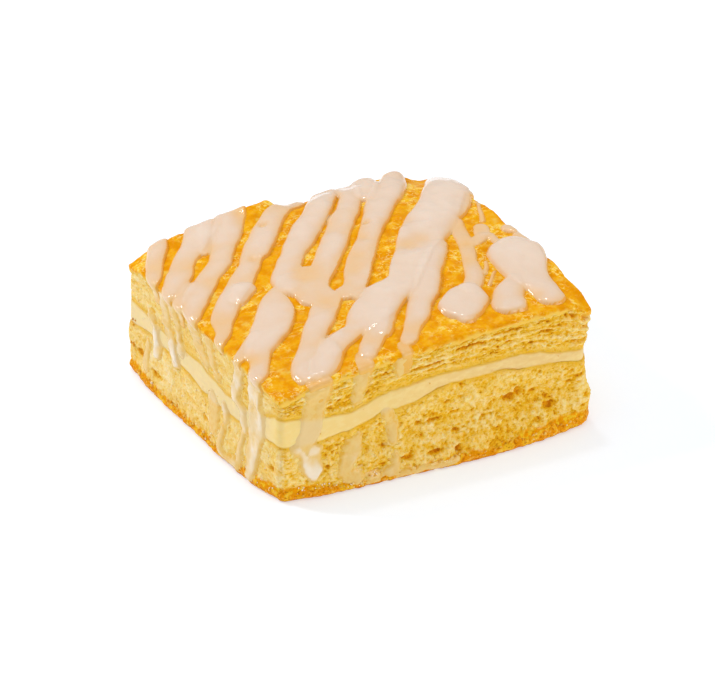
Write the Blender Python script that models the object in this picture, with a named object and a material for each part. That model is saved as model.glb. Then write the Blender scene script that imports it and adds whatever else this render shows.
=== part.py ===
"""A cut square of cheese danish: two slabs of flaky dough, cheese between them, icing drizzled on top.

The square stands on Z = 0 with its middle over the origin. X runs along its longer sides. Seen from above,
the front side is at -Y, the back at +Y, the left at -X and the right at +X.
"""

import math

import bmesh
import bpy
from mathutils import Vector, noise

MM = 0.001

# The rim of the top crust, and how the sides stand to it
LENGTH = 90 * MM
WIDTH = 82.8 * MM
CRUST_CORNER = 0.8 * MM  # plan radius of the crust's corners
# Plan radius of the crumb at each of its corners, in millimetres
WALL_CORNERS = {(1, -1): 4.6, (1, 1): 3.5, (-1, 1): 1.8, (-1, -1): 2.4}
LIP = 0.3 * MM  # how far the crust stands over the crumb
LIP_DEPTH = 1.8 * MM
RIM_ROUND = 0.5 * MM
BEND = 1.5 * MM  # how sharply the icing turns over the rim

# The dough spreads towards its base
FLARE = 1.7 * MM
FLARE_HEIGHT = 14 * MM  # where the spreading starts
FRONT_BULGE = 2.4 * MM
FRONT_BULGE_AT = 14 * MM
BACK_BULGE_AT = -12 * MM
BULGE_LENGTH = 26 * MM
FOOT_INSET = 1.3 * MM
FOOT_ROUND = 1.5 * MM
# The foot is drawn in at its corners: (side of X, side of Y, tuck, height), in millimetres
CORNER_TUCKS = ((-1, -1, 2.6, 11), (1, -1, 1.0, 6), (1, 1, 1.2, 8), (-1, 1, 1.5, 11))
TUCK_REACH = 9 * MM
# Torn flakes and lumps that stand out of the lower crumb, in millimetres: (x, y, z, reach, how far)
LUMPS = (
    (45, -41, 8.8, 2.4, 1.7), (44, -41, 15, 6, 0.5), (-45, 40, 12, 3, 0.4), (-44, -10, 5, 5, 0.5),
    (30, -41, 6, 5, 0.5), (46, 10, 7, 5, 0.8), (45, 30, 12, 4, 0.6), (-20, 43, 6, 6, 0.7),
    (15, 43, 10, 5, 0.6),
)

# Heights in millimetres at nine places: rows from the front side to the back, each from left to right
CRUST_HEIGHTS = ((30.8, 34.5, 35.0), (31.2, 37.0, 37.6), (32.6, 37.2, 36.5))
CHEESE_TOPS = ((23.0, 24.8, 22.0), (19.5, 24.2, 24.0), (21.2, 23.3, 22.6))
CHEESE_BOTTOMS = ((15.2, 20.8, 18.8), (13.6, 19.6, 20.1), (15.0, 18.6, 19.4))

# The crust hangs at its corners: (side of X, side of Y, drop, reach), in millimetres
CORNER_DROPS = ((-1, -1, 1.0, 9), (1, -1, 2.4, 4), (-1, 1, 2.0, 5), (1, 1, 2.8, 9))
# Blisters and dips along the rim, in millimetres: (x, y, reach, height)
SWELLS = (
    (-30, 41, 4, 1), (-18, 41, 5, 0.6), (-10, 41, 5, 2.1), (-4.5, 41, 3, 1.7), (-1.2, 42, 1.8, -1.4),
    (3, 40, 4, -1.3), (7, 42, 3, -0.7), (11, 41, 4, -1.4), (19, 41, 4, -1.4), (35, 41, 3.5, 1.2),
    (38, 39, 5, -1), (45, 24, 8, 0.4), (45, 9, 5, 1.1), (45, -14, 8, 0.8), (45, -22, 4, 0.7),
)

LAYER_GAP = 0.3 * MM  # between a slab of dough and the cheese
CHEESE_RECESS = 0.6 * MM
CHEESE_BELLY = 0.4 * MM

# Relief in the sides
UPPER_SET_IN, LOWER_SET_IN = 0.5 * MM, 0.4 * MM  # from the rim's line
SHEET_PITCH = 2.1 * MM  # from one flaky layer to the next
SHEET_RELIEF = 1.0 * MM
SHEET_EVEN, SHEET_RAGGED = 0.35, 0.5  # how much of that is level ridges, and how much is torn
SHEET_WAVE, SHEET_WAVE_LENGTH = 0.6 * MM, 7 * MM
TEAR_SIZE, TEAR_FLATNESS = 4 * MM, 3
CRUMB_SIZE = 4.5 * MM
CRUMB_RELIEF = 0.9 * MM

# Grid cells along X, along Y and up, and the share of the triangles that each slab keeps
PLAN_CELLS = (30, 28)
GRID_LEAN = 0.16  # how far the grid lines crowd towards the rim
TOP_ROWS, TOP_KEPT = 11, 0.55
CHEESE_ROWS, CHEESE_KEPT = 3, 0.24
BOTTOM_ROWS, BOTTOM_KEPT = 9, 0.46

# Icing, in millimetres: each stroke is a path of (x, y, half width) on the unfolded skin of the top slab, so
# a point past the rim lies down the side
STROKES = {
    "left_corner": ((-34.5, 46, 2.4), (-38, 39.8, 2.3), (-42.4, 33.2, 1.8), (-45.5, 28, 1.8), (-49, 26, 1.6)),
    "second": (
        (-22.5, 46, 3.4), (-28.5, 36, 3.4), (-34.2, 29.6, 3.3), (-39.4, 23.7, 3.4), (-44, 19.5, 3),
        (-50, 18, 2.2),
    ),
    "third": (
        (-13.5, 46, 3.4), (-17.5, 39, 3.5), (-21.7, 33, 3.6), (-24.8, 29.3, 2.9), (-28.5, 24, 2.9),
        (-33.4, 20, 3), (-38.3, 15.4, 3), (-42.5, 10.5, 3), (-45.5, 6, 2.2), (-50, 3, 2.4),
    ),
    "third_branch": ((-18, 44, 3), (-24, 38, 3.6), (-29, 33.5, 2)),
    "third_side": ((-39, 18, 3.2), (-45, 13, 3.4), (-49, 11.5, 1.8)),
    "fourth": (
        (4, 40, 2), (-1.5, 38.2, 2.5), (-6.2, 35.2, 3.1), (-10, 31.2, 3.7), (-13.8, 26.8, 3.9),
        (-17.7, 22.6, 3.4), (-20.2, 20, 2.9), (-24.5, 15, 3.1), (-29.5, 9.5, 3.2), (-34.6, 5.4, 3.2),
        (-39.5, 0, 2.8), (-43.5, -4.5, 2.2), (-47, -8, 1.6),
    ),
    "fifth": (
        (12, 42, 2.8), (8.8, 37, 3.1), (3.4, 30, 3.6), (-1.5, 25, 4), (-5.5, 20.5, 3.6), (-10.5, 15.5, 2.8),
        (-14.5, 11, 3.1), (-18.5, 6, 3.2), (-19, 2, 3),
    ),
    "sixth": (
        (18, 40, 3.4), (16.5, 35, 3.4), (12.3, 27.8, 3.6), (8.2, 23.7, 3.4), (3.2, 18.1, 3), (-1.8, 12, 3.3),
        (-6.5, 6.5, 3.3), (-11.5, 1, 3.4), (-14.5, -5, 3.6), (-14.5, -9, 3.6),
    ),
    "seventh": (
        (34.5, 45.5, 2.8), (31.8, 40, 3), (27.5, 34, 3.8), (22.5, 28, 3.6), (17.3, 21.3, 2.7),
        (12.8, 15.5, 2.8), (8.8, 10.5, 2.9), (3, 4, 3.2), (-1.5, -2, 3.1), (-5.5, -7.5, 3.4),
        (-9.5, -9, 2.6),
    ),
    "seventh_branch": ((24, 43.5, 3), (23, 38, 4.2), (20.5, 33, 3.6)),
    "broad": (
        (45, 40, 1.6), (43.5, 36, 3.8), (41, 29.5, 5), (38, 23.2, 5.8), (31.5, 15.5, 6.2), (24.4, 8.3, 6.4),
        (17, 0.2, 4.9), (11.5, -5.3, 5), (5.3, -12, 4.7), (-2.5, -16.5, 6), (-8.5, -21, 5.8),
        (-15.5, -25.4, 3.2), (-22.5, -28.8, 3.3), (-27.8, -33, 3.6), (-31, -36.2, 3.2),
    ),
    "broad_side": ((46, 39, 1.6), (46, 30, 1.6), (44.5, 22, 2)),
    "front_left": (
        (-13.5, -9, 3), (-17, -12.5, 3.4), (-21.5, -18, 3.3), (-26.5, -23.5, 3.3), (-31, -29, 3.5),
        (-34.2, -33.6, 3.6), (-35.2, -36.6, 2.7),
    ),
    "left_pool": (
        (-20.5, 4.5, 0.9), (-24.2, 0.5, 2.8), (-26.9, -4.6, 4.7), (-31, -10.6, 5.4), (-35.2, -14.7, 4.6),
        (-39.5, -19, 3.6), (-41.5, -24, 1.9), (-45, -28, 1.8), (-50, -30, 2.4),
    ),
    "left_pool_side": ((-37, -13.5, 3), (-42, -17, 2.4), (-47, -19.6, 1.2)),
    "front_first": ((-8, -25, 3), (-12, -30, 2.9), (-15.2, -33.5, 3), (-18, -37, 2.5)),
    "front_second": (
        (22.5, -0.5, 3), (18, -6, 3.6), (13.2, -12, 3.6), (8.9, -18, 3.5), (5.2, -22.5, 3), (1.8, -27, 3),
        (-2, -31.5, 2.5), (-5.4, -36, 2.2), (-6.8, -38, 1.8),
    ),
    "stem": (
        (33.5, 7, 2.2), (31, 2, 1.4), (30.3, -3, 1.9), (27.1, -9, 1.3), (25.2, -14.5, 2), (22.9, -19, 2.1),
        (19, -23, 3),
    ),
    "blob": ((16, -26.6, 5.2), (13.2, -29.4, 5.6)),
    "blob_side": ((18.2, -24.8, 3.5), (17.6, -29, 3), (11.6, -33.6, 2.8)),
    "right_thread": ((38, 3, 1.7), (36, 0, 1.8), (34.2, -3, 0.9), (32.2, -5.5, 0.7)),
    "right_blob": ((40.2, -8.4, 4.2), (37.8, -15, 7.3), (36, -22, 6), (35.4, -28, 5), (35.5, -34.3, 3.9)),
    "right_edge": ((44, -5, 1.6), (45, -12, 1.5)),
    "front_right": ((31, -26.5, 2.6), (26, -30.5, 3.7), (23.7, -34.2, 3.7)),
    "web_left": ((-13.6, 5, 2.2), (-19, 4, 3.4), (-17, -2, 3.8), (-19.5, -7.5, 2.2), (-16, -9, 2.6)),
    "web_middle": ((-6, -11, 2.6), (-1, -13.5, 3.6)),
}
STROKE_STEP = 5 * MM
END_AT, END_HALF = 0.8, 0.6  # the last ring of a round end, as shares of the half width there
STROKE_SIDES = 1  # bevel resolution, which gives six sides
ICING_RISE = 0.45  # height of a stroke for each unit of its half width, while it is thin
ICING_MOST = 2.1 * MM
ICING_SUNK = 1.0 * MM
STROKE_UNLIKE = 0.15  # how much the strokes differ in thickness
WELD = 0.003 * MM
EDGE_OF_CUBE = 0.999  # past this a vertex of the unit cube lies on a face

# Base colour, roughness
TOP_FINISH = ((0.80, 0.38, 0.05), 0.45)
CHEESE_FINISH = ((0.83, 0.62, 0.30), 0.4)
BOTTOM_FINISH = ((0.76, 0.50, 0.16), 0.85)


def nine_point(x, y, table):
    """A smooth height over the plan that passes through the nine heights of a table."""
    def weights(t):
        return t * (t - 1) / 2, 1 - t * t, t * (t + 1) / 2

    across = weights(2 * x / LENGTH)
    along = weights(2 * y / WIDTH)
    return MM * sum(b * a * table[j][i] for j, b in enumerate(along) for i, a in enumerate(across))


def hill(distance, reach):
    return math.exp(-((distance / reach) ** 2))


def crust_height(x, y):
    """The top of the crust: domed, hanging at its corners and blistered along the back."""
    x = max(-LENGTH / 2, min(LENGTH / 2, x))
    y = max(-WIDTH / 2, min(WIDTH / 2, y))
    z = nine_point(x, y, CRUST_HEIGHTS)
    for side_x, side_y, drop, reach in CORNER_DROPS:
        z -= drop * MM * hill(math.hypot(x - side_x * LENGTH / 2, y - side_y * WIDTH / 2), reach * MM)
    for swell_x, swell_y, reach, height in SWELLS:
        z += height * MM * hill(math.hypot(x - swell_x * MM, y - swell_y * MM), reach * MM)
    return z


def cheese_top(x, y):
    return nine_point(x, y, CHEESE_TOPS)


def cheese_bottom(x, y):
    return nine_point(x, y, CHEESE_BOTTOMS)


def eased(t):
    t = max(0.0, min(1.0, t))
    return t * t * (3 - 2 * t)


def even(t):
    """Moves a grid line from its even place towards the rim, where the form turns faster."""
    return t + GRID_LEAN * (t - t ** 3)


def plan(u, v, corner):
    """The place in plan of (u, v) in a square from -1 to 1, and the way out of the slab there."""
    x, y = even(u) * LENGTH / 2, even(v) * WIDTH / 2
    over_x = abs(x) - (LENGTH / 2 - corner)
    over_y = abs(y) - (WIDTH / 2 - corner)
    if over_x > 0 and over_y > 0:
        length = math.hypot(over_x, over_y)
        out_x, out_y = over_x / length, over_y / length
        reach = max(over_x, over_y)
        x = math.copysign(LENGTH / 2 - corner + reach * out_x, x)
        y = math.copysign(WIDTH / 2 - corner + reach * out_y, y)
    else:
        out_x, out_y = (1, 0) if over_x > over_y else (0, 1)
    return Vector((x, y, 0)), Vector((math.copysign(out_x, x), math.copysign(out_y, y), 0))


def wall_corner(u, v):
    return WALL_CORNERS[math.copysign(1, u), math.copysign(1, v)] * MM


def sheets(place):
    """How far the flaky layers step in: ragged level ridges, a sheet apart."""
    wave = SHEET_WAVE * noise.noise(place / SHEET_WAVE_LENGTH)
    ridge = math.cos(math.tau * (place.z + wave) / SHEET_PITCH)
    torn = noise.noise(Vector((place.x, place.y, TEAR_FLATNESS * place.z)) / TEAR_SIZE)
    return SHEET_RELIEF * (SHEET_EVEN * ridge + SHEET_RAGGED * torn)


def crumb(place):
    """How far the open crumb of the lower slab stands out or in."""
    return CRUMB_RELIEF * noise.noise(place / CRUMB_SIZE)


def spread(place, out):
    """How far the lower dough spreads past the rim's line at a height above its base."""
    low = 1 - eased(place.z / FLARE_HEIGHT)
    at = FRONT_BULGE_AT if out.y < 0 else BACK_BULGE_AT
    bulge = FRONT_BULGE * abs(out.y) * hill(place.x - at, BULGE_LENGTH)
    spreading = low * (FLARE + bulge)
    for side_x, side_y, tuck, height in CORNER_TUCKS:
        away = math.hypot(place.x - side_x * LENGTH / 2, place.y - side_y * WIDTH / 2)
        spreading -= tuck * MM * hill(away, TUCK_REACH) * (1 - eased(place.z / (height * MM)))
    for *middle, reach, far in LUMPS:
        spreading += far * MM * hill((place - Vector(middle) * MM).length, reach * MM)
    return spreading


def top_slab(u, v, w):
    """The upper slab, from the cheese to the crust; the crust stands over the crumb as a lip."""
    share = (w + 1) / 2
    middle, out = plan(u, v, CRUST_CORNER)
    roof = crust_height(middle.x, middle.y)
    floor = cheese_top(middle.x, middle.y) + LAYER_GAP
    z = floor + share * (roof - floor)
    under_lip = eased((roof - z) / LIP_DEPTH)
    place, out = plan(u, v, CRUST_CORNER + under_lip * (wall_corner(u, v) - CRUST_CORNER))
    place.z = z
    if on_side(u, v):
        rim_round = RIM_ROUND if w > EDGE_OF_CUBE else 0
        place += out * (under_lip * (sheets(place) - UPPER_SET_IN) - rim_round)
    return place


def cheese_slab(u, v, w):
    """The cheese, set back a little from the crumb, with a soft belly."""
    place, out = plan(u, v, wall_corner(u, v))
    floor, roof = cheese_bottom(place.x, place.y), cheese_top(place.x, place.y)
    place.z = floor + (w + 1) / 2 * (roof - floor)
    if on_side(u, v):
        place -= out * (CHEESE_RECESS - CHEESE_BELLY * (1 - w * w))
    return place


def bottom_slab(u, v, w):
    """The lower slab, from its flat foot to the cheese, spreading downwards, with a round lower edge."""
    place, out = plan(u, v, wall_corner(u, v))
    place.z = (w + 1) / 2 * (cheese_bottom(place.x, place.y) - LAYER_GAP)
    if on_side(u, v):
        foot = FOOT_INSET * (1 - math.sqrt(min(1.0, place.z / FOOT_ROUND)))
        place += out * (spread(place, out) - LOWER_SET_IN - foot + crumb(place) * eased(place.z / FOOT_ROUND))
    return place


def on_side(u, v):
    return max(abs(u), abs(v)) > EDGE_OF_CUBE


def make_slab(name, rows, form, kept):
    """A cube with a grid on every face, whose vertices a form moves from their places in -1 to 1."""
    bm = bmesh.new()
    bmesh.ops.create_cube(bm, size=2)
    for axis, cells in enumerate((*PLAN_CELLS, rows)):
        along = [e for e in bm.edges if abs(e.verts[0].co[axis] - e.verts[1].co[axis]) > 1]
        bmesh.ops.subdivide_edges(bm, edges=along, cuts=cells - 1, use_grid_fill=True)
    for vertex in bm.verts:
        vertex.co = form(*vertex.co)
    bmesh.ops.triangulate(bm, faces=bm.faces)
    mesh = bpy.data.meshes.new(name)
    bm.to_mesh(mesh)
    bm.free()
    slab = bpy.data.objects.new(name, mesh)
    thin = slab.modifiers.new("thin", "DECIMATE")
    thin.ratio = kept
    return slab


def on_skin(x, y, lift):
    """The place of a point of the unfolded skin: flat on the crust, bent over the rim or down a side."""
    flat_x, flat_y = LENGTH / 2 - BEND, WIDTH / 2 - BEND
    rim = Vector((max(-flat_x, min(flat_x, x)), max(-flat_y, min(flat_y, y)), 0))
    over = Vector((x, y, 0)) - rim
    turn = min(over.length / BEND, math.pi / 2)
    down = max(0.0, over.length - BEND * math.pi / 2)
    outward = (BEND + lift) * math.sin(turn) - LIP * eased(down / LIP_DEPTH)
    place = rim + over.normalized() * outward
    place.z = crust_height(rim.x, rim.y) - BEND + (BEND + lift) * math.cos(turn) - down
    return place


def beads(stroke):
    """Places and half widths along a stroke: even steps between two round ends."""
    path = [(Vector((x, y, 0)) * MM, half * MM) for x, y, half in stroke]
    legs = [(b[0] - a[0]).length for a, b in zip(path, path[1:])]
    (near, half), (far, _) = path[:2]
    yield near + (near - far).normalized() * END_AT * half, END_HALF * half
    steps = max(1, round(sum(legs) / STROKE_STEP))
    for step in range(steps + 1):
        at, leg = sum(legs) * step / steps, 0
        while leg < len(legs) - 1 and at > legs[leg]:
            at -= legs[leg]
            leg += 1
        share = min(1.0, at / legs[leg])
        (start, start_half), (end, end_half) = path[leg], path[leg + 1]
        yield start.lerp(end, share), start_half + share * (end_half - start_half)
    (far, _), (near, half) = path[-2:]
    yield near + (near - far).normalized() * END_AT * half, END_HALF * half


def cut_at_bends(bm):
    """Cuts a flat stroke along the lines where the skin starts to turn, is half round and hangs straight."""
    for way, half_side in ((Vector((1, 0, 0)), LENGTH / 2), (Vector((0, 1, 0)), WIDTH / 2)):
        for side in (-1, 1):
            for turned in (0, 0.5, 1):
                line = way * side * (half_side - BEND + turned * BEND * math.pi / 2)
                everything = [*bm.verts, *bm.edges, *bm.faces]
                bmesh.ops.bisect_plane(bm, geom=everything, dist=1e-7, plane_co=line, plane_no=way)


def make_stroke(name, index, stroke, collection):
    """One stroke of icing: a round tube along its path, flattened and laid on the skin."""
    curve = bpy.data.curves.new(name, "CURVE")
    curve.dimensions = "3D"
    curve.bevel_depth = MM
    curve.bevel_resolution = STROKE_SIDES
    curve.use_fill_caps = True
    points = list(beads(stroke))
    spline = curve.splines.new("POLY")
    spline.points.add(len(points) - 1)
    for point, (place, half) in zip(spline.points, points):
        point.co = (*place, 1)
        point.radius = half / MM
    tube = bpy.data.objects.new(name, curve)
    collection.objects.link(tube)
    bpy.context.view_layer.update()
    mesh = bpy.data.meshes.new_from_object(tube.evaluated_get(bpy.context.evaluated_depsgraph_get()))
    bpy.data.objects.remove(tube)

    bm = bmesh.new()
    bm.from_mesh(mesh)
    bmesh.ops.remove_doubles(bm, verts=bm.verts, dist=WELD)
    cut_at_bends(bm)
    for vertex in bm.verts:
        most = (ICING_MOST if vertex.co.z > 0 else ICING_SUNK) * (1 + STROKE_UNLIKE * math.sin(index))
        lift = most * math.tanh(ICING_RISE * vertex.co.z / most)
        vertex.co = on_skin(vertex.co.x, vertex.co.y, lift)
    bmesh.ops.triangulate(bm, faces=bm.faces)
    bmesh.ops.recalc_face_normals(bm, faces=bm.faces)
    bm.to_mesh(mesh)
    bm.free()
    collection.objects.link(bpy.data.objects.new(name, mesh))


def settle(thing):
    """Makes an object's modifiers part of its mesh."""
    bpy.context.view_layer.update()
    mesh = bpy.data.meshes.new_from_object(thing.evaluated_get(bpy.context.evaluated_depsgraph_get()))
    thing.modifiers.clear()
    thing.data = mesh


def keep_largest(mesh):
    """Drops the scraps and the sealed hollows that fusing leaves beside the slab's own skin."""
    bm = bmesh.new()
    bm.from_mesh(mesh)
    shells = []
    unseen = set(bm.verts)
    while unseen:
        reached = [unseen.pop()]
        shell = []
        while reached:
            vertex = reached.pop()
            shell.append(vertex)
            near = {edge.other_vert(vertex) for edge in vertex.link_edges} & unseen
            unseen -= near
            reached.extend(near)
        shells.append(shell)
    shells.sort(key=len)
    for scrap in shells[:-1]:
        bmesh.ops.delete(bm, geom=scrap, context="VERTS")
    bmesh.ops.triangulate(bm, faces=bm.faces)
    bm.to_mesh(mesh)
    bm.free()


def drizzle(slab):
    """Fuses the icing to the slab by one union, and clears the strokes away."""
    icing = bpy.data.collections.new("icing")
    bpy.context.scene.collection.children.link(icing)
    for index, (name, stroke) in enumerate(STROKES.items()):
        make_stroke(name, index, stroke, icing)
    union = slab.modifiers.new("icing", "BOOLEAN")
    union.operation = "UNION"
    union.operand_type = "COLLECTION"
    union.collection = icing
    union.solver = "MANIFOLD"
    settle(slab)
    keep_largest(slab.data)
    for stroke in list(icing.objects):
        bpy.data.objects.remove(stroke)
    bpy.data.collections.remove(icing)


def finish(thing, colour, roughness):
    material = bpy.data.materials.new(thing.name)
    material.use_nodes = True
    shader = material.node_tree.nodes["Principled BSDF"]
    shader.inputs["Base Color"].default_value = (*colour, 1)
    shader.inputs["Roughness"].default_value = roughness
    shader.inputs["Metallic"].default_value = 0
    thing.data.materials.clear()
    thing.data.materials.append(material)


def main():
    for thing in list(bpy.data.objects):
        bpy.data.objects.remove(thing)
    danish = bpy.data.collections.new("cheese_danish")
    bpy.context.scene.collection.children.link(danish)

    bottom = make_slab("bottom_dough", BOTTOM_ROWS, bottom_slab, BOTTOM_KEPT)
    cheese = make_slab("cheese_filling", CHEESE_ROWS, cheese_slab, CHEESE_KEPT)
    top = make_slab("top_dough", TOP_ROWS, top_slab, TOP_KEPT)
    for slab in (bottom, cheese, top):
        danish.objects.link(slab)
        settle(slab)
    drizzle(top)
    finish(bottom, *BOTTOM_FINISH)
    finish(cheese, *CHEESE_FINISH)
    finish(top, *TOP_FINISH)


main()
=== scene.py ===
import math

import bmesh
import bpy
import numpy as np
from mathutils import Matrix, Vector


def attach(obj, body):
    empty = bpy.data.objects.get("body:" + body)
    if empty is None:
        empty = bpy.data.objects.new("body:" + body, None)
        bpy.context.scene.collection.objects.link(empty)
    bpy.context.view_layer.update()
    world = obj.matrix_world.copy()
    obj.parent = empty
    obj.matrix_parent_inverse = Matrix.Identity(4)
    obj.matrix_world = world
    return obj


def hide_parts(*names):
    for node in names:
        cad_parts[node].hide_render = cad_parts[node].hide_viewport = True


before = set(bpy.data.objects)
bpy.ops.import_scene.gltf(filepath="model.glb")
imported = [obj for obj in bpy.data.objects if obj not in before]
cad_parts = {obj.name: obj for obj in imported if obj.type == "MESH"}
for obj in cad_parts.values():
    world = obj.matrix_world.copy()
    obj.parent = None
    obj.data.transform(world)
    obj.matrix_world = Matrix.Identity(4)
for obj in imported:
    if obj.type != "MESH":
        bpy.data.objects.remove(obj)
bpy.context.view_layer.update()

# The looks of a cut square of cheese danish: the glazed crust, the flaky crumb above and below the cheese,
# the browned skin at the foot, and the icing with the thin drips that run down the sides.
#
# Lengths are in millimetres until a mesh is made. Seen from above, the front side is at -Y, the back at +Y,
# the left at -X and the right at +X. A sheet is modelled flat and then laid on the danish: the top sheets
# unfold over the rim, and the side sheets unroll round the whole square.

MM = 0.001

# The form of the solids
LENGTH, WIDTH = 90, 82.8
BEND = 0.8  # how sharply the crust and the icing turn over the rim
CORE_X, CORE_Y = LENGTH / 2 - BEND, WIDTH / 2 - BEND  # where the bend starts
LIP, LIP_RUN = 0.3, 1.8  # how far the crust stands over the crumb, and over what drop it draws in
# How round the crumb is at its corners: front right, back right, back left, front left
WALL_CORNERS = (4.6, 3.5, 1.8, 2.4)
FLARE, FLARE_HEIGHT = 1.7, 14  # how far the lower dough spreads at its base, and from what height down
FRONT_BULGE, FRONT_BULGE_AT, BACK_BULGE_AT, BULGE_LENGTH = 2.4, 14, -12, 26
FOOT_INSET, FOOT_ROUND = 1.3, 1.5  # how far the foot is rounded in, and up to what height
# The foot is drawn in at its corners: (side of X, side of Y, tuck, height)
CORNER_TUCKS = ((-1, -1, 2.6, 11), (1, -1, 1.0, 6), (1, 1, 1.2, 8), (-1, 1, 1.5, 11))
TUCK_REACH = 9
# Torn flakes and lumps that stand out of the lower crumb: (x, y, z, reach, how far)
LUMPS = (
    (45, -41, 8.8, 2.4, 1.7), (44, -41, 15, 6, 0.5), (-45, 40, 12, 3, 0.4), (-44, -10, 5, 5, 0.5),
    (30, -41, 6, 5, 0.5), (46, 10, 7, 5, 0.8), (45, 30, 12, 4, 0.6), (-20, 43, 6, 6, 0.7),
    (15, 43, 10, 5, 0.6),
)
UPPER_SET_IN, LOWER_SET_IN, CHEESE_SET_IN = 0.3, 0.25, 0.5  # from the rim's line
CHEESE_BELLY = 0.35  # how far the cheese swells out again between its edges
LAYER_BLEND = 1.2  # the height over which the icing on the sides passes from one layer's line to the next
CRUMB_SIZE, LUMPY = 4.5, 0.4  # how far apart and how far out the crumb's coarse lumps are
SHEET_PITCH, THIN_SHEETS = 2.1, 0.41  # between the sheets of dough, and the thinner ones' share of it
SHEET_WAVE, SHEET_WAVE_LENGTH = 0.6, 7

# Heights at nine places: rows from the front side to the back, each from left to right
CRUST_HEIGHTS = ((30.8, 34.5, 35.0), (31.2, 37.0, 37.6), (32.6, 37.2, 36.5))
# The cheese layer's lower and upper edge at places round the sides: (place along the side, lower, upper)
CHEESE_EDGES = {
    "front": (
        (-39, 15.7, 23.1), (-34, 15.5, 21.9), (-30, 15.8, 21.7), (-25, 16.6, 21.3), (-21, 17.2, 22.3),
        (-18, 18.3, 23.5), (-16, 19.1, 24.1), (-11, 19.0, 24.3), (-5, 19.6, 24.7), (0, 21.4, 25.2),
        (4, 22.3, 25.2), (12, 21.7, 25.0), (18, 21.9, 24.9), (24, 20.8, 25.1), (30, 20.4, 24.1),
        (36, 19.7, 22.3),
    ),
    "right": ((-40, 18.2, 21.4), (-20, 19.5, 23.0), (0, 20.5, 24.5), (20, 20.0, 23.6), (38, 19.5, 22.8)),
    "back": ((40, 19.3, 22.6), (20, 19.2, 23.4), (0, 19.0, 23.5), (-20, 17.2, 22.5), (-38, 14.4, 20.9)),
    "left": (
        (38, 14.3, 20.7), (35, 15.2, 20.5), (29, 15.8, 20.2), (21, 15.1, 19.7), (9, 14.5, 19.6),
        (1, 12.9, 20.2), (-4, 13.0, 19.3), (-12, 13.0, 18.0), (-20, 13.9, 18.7), (-25.5, 14.3, 19.7),
        (-32, 15.4, 21.3), (-38.5, 16.4, 24.0),
    ),
}
# The crust hangs at its corners: (side of X, side of Y, drop, reach)
CORNER_DROPS = ((-1, -1, 1.0, 9), (1, -1, 2.4, 4), (-1, 1, 2.0, 5), (1, 1, 2.8, 9))
# Blisters and dips along the back rim: (x, y, reach, height)
SWELLS = (
    (-30, 41, 4, 1), (-18, 41, 5, 0.6), (-10, 41, 5, 2.1), (-4.5, 41, 3, 1.7), (-1.2, 42, 1.8, -1.4),
    (3, 40, 4, -1.3), (7, 42, 3, -0.7), (11, 41, 4, -1.4), (19, 41, 4, -1.4), (35, 41, 3.5, 1.2),
    (38, 39, 5, -1), (45, 24, 8, 0.4), (45, 9, 5, 1.1), (45, -14, 8, 0.8), (45, -22, 4, 0.7),
)

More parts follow.
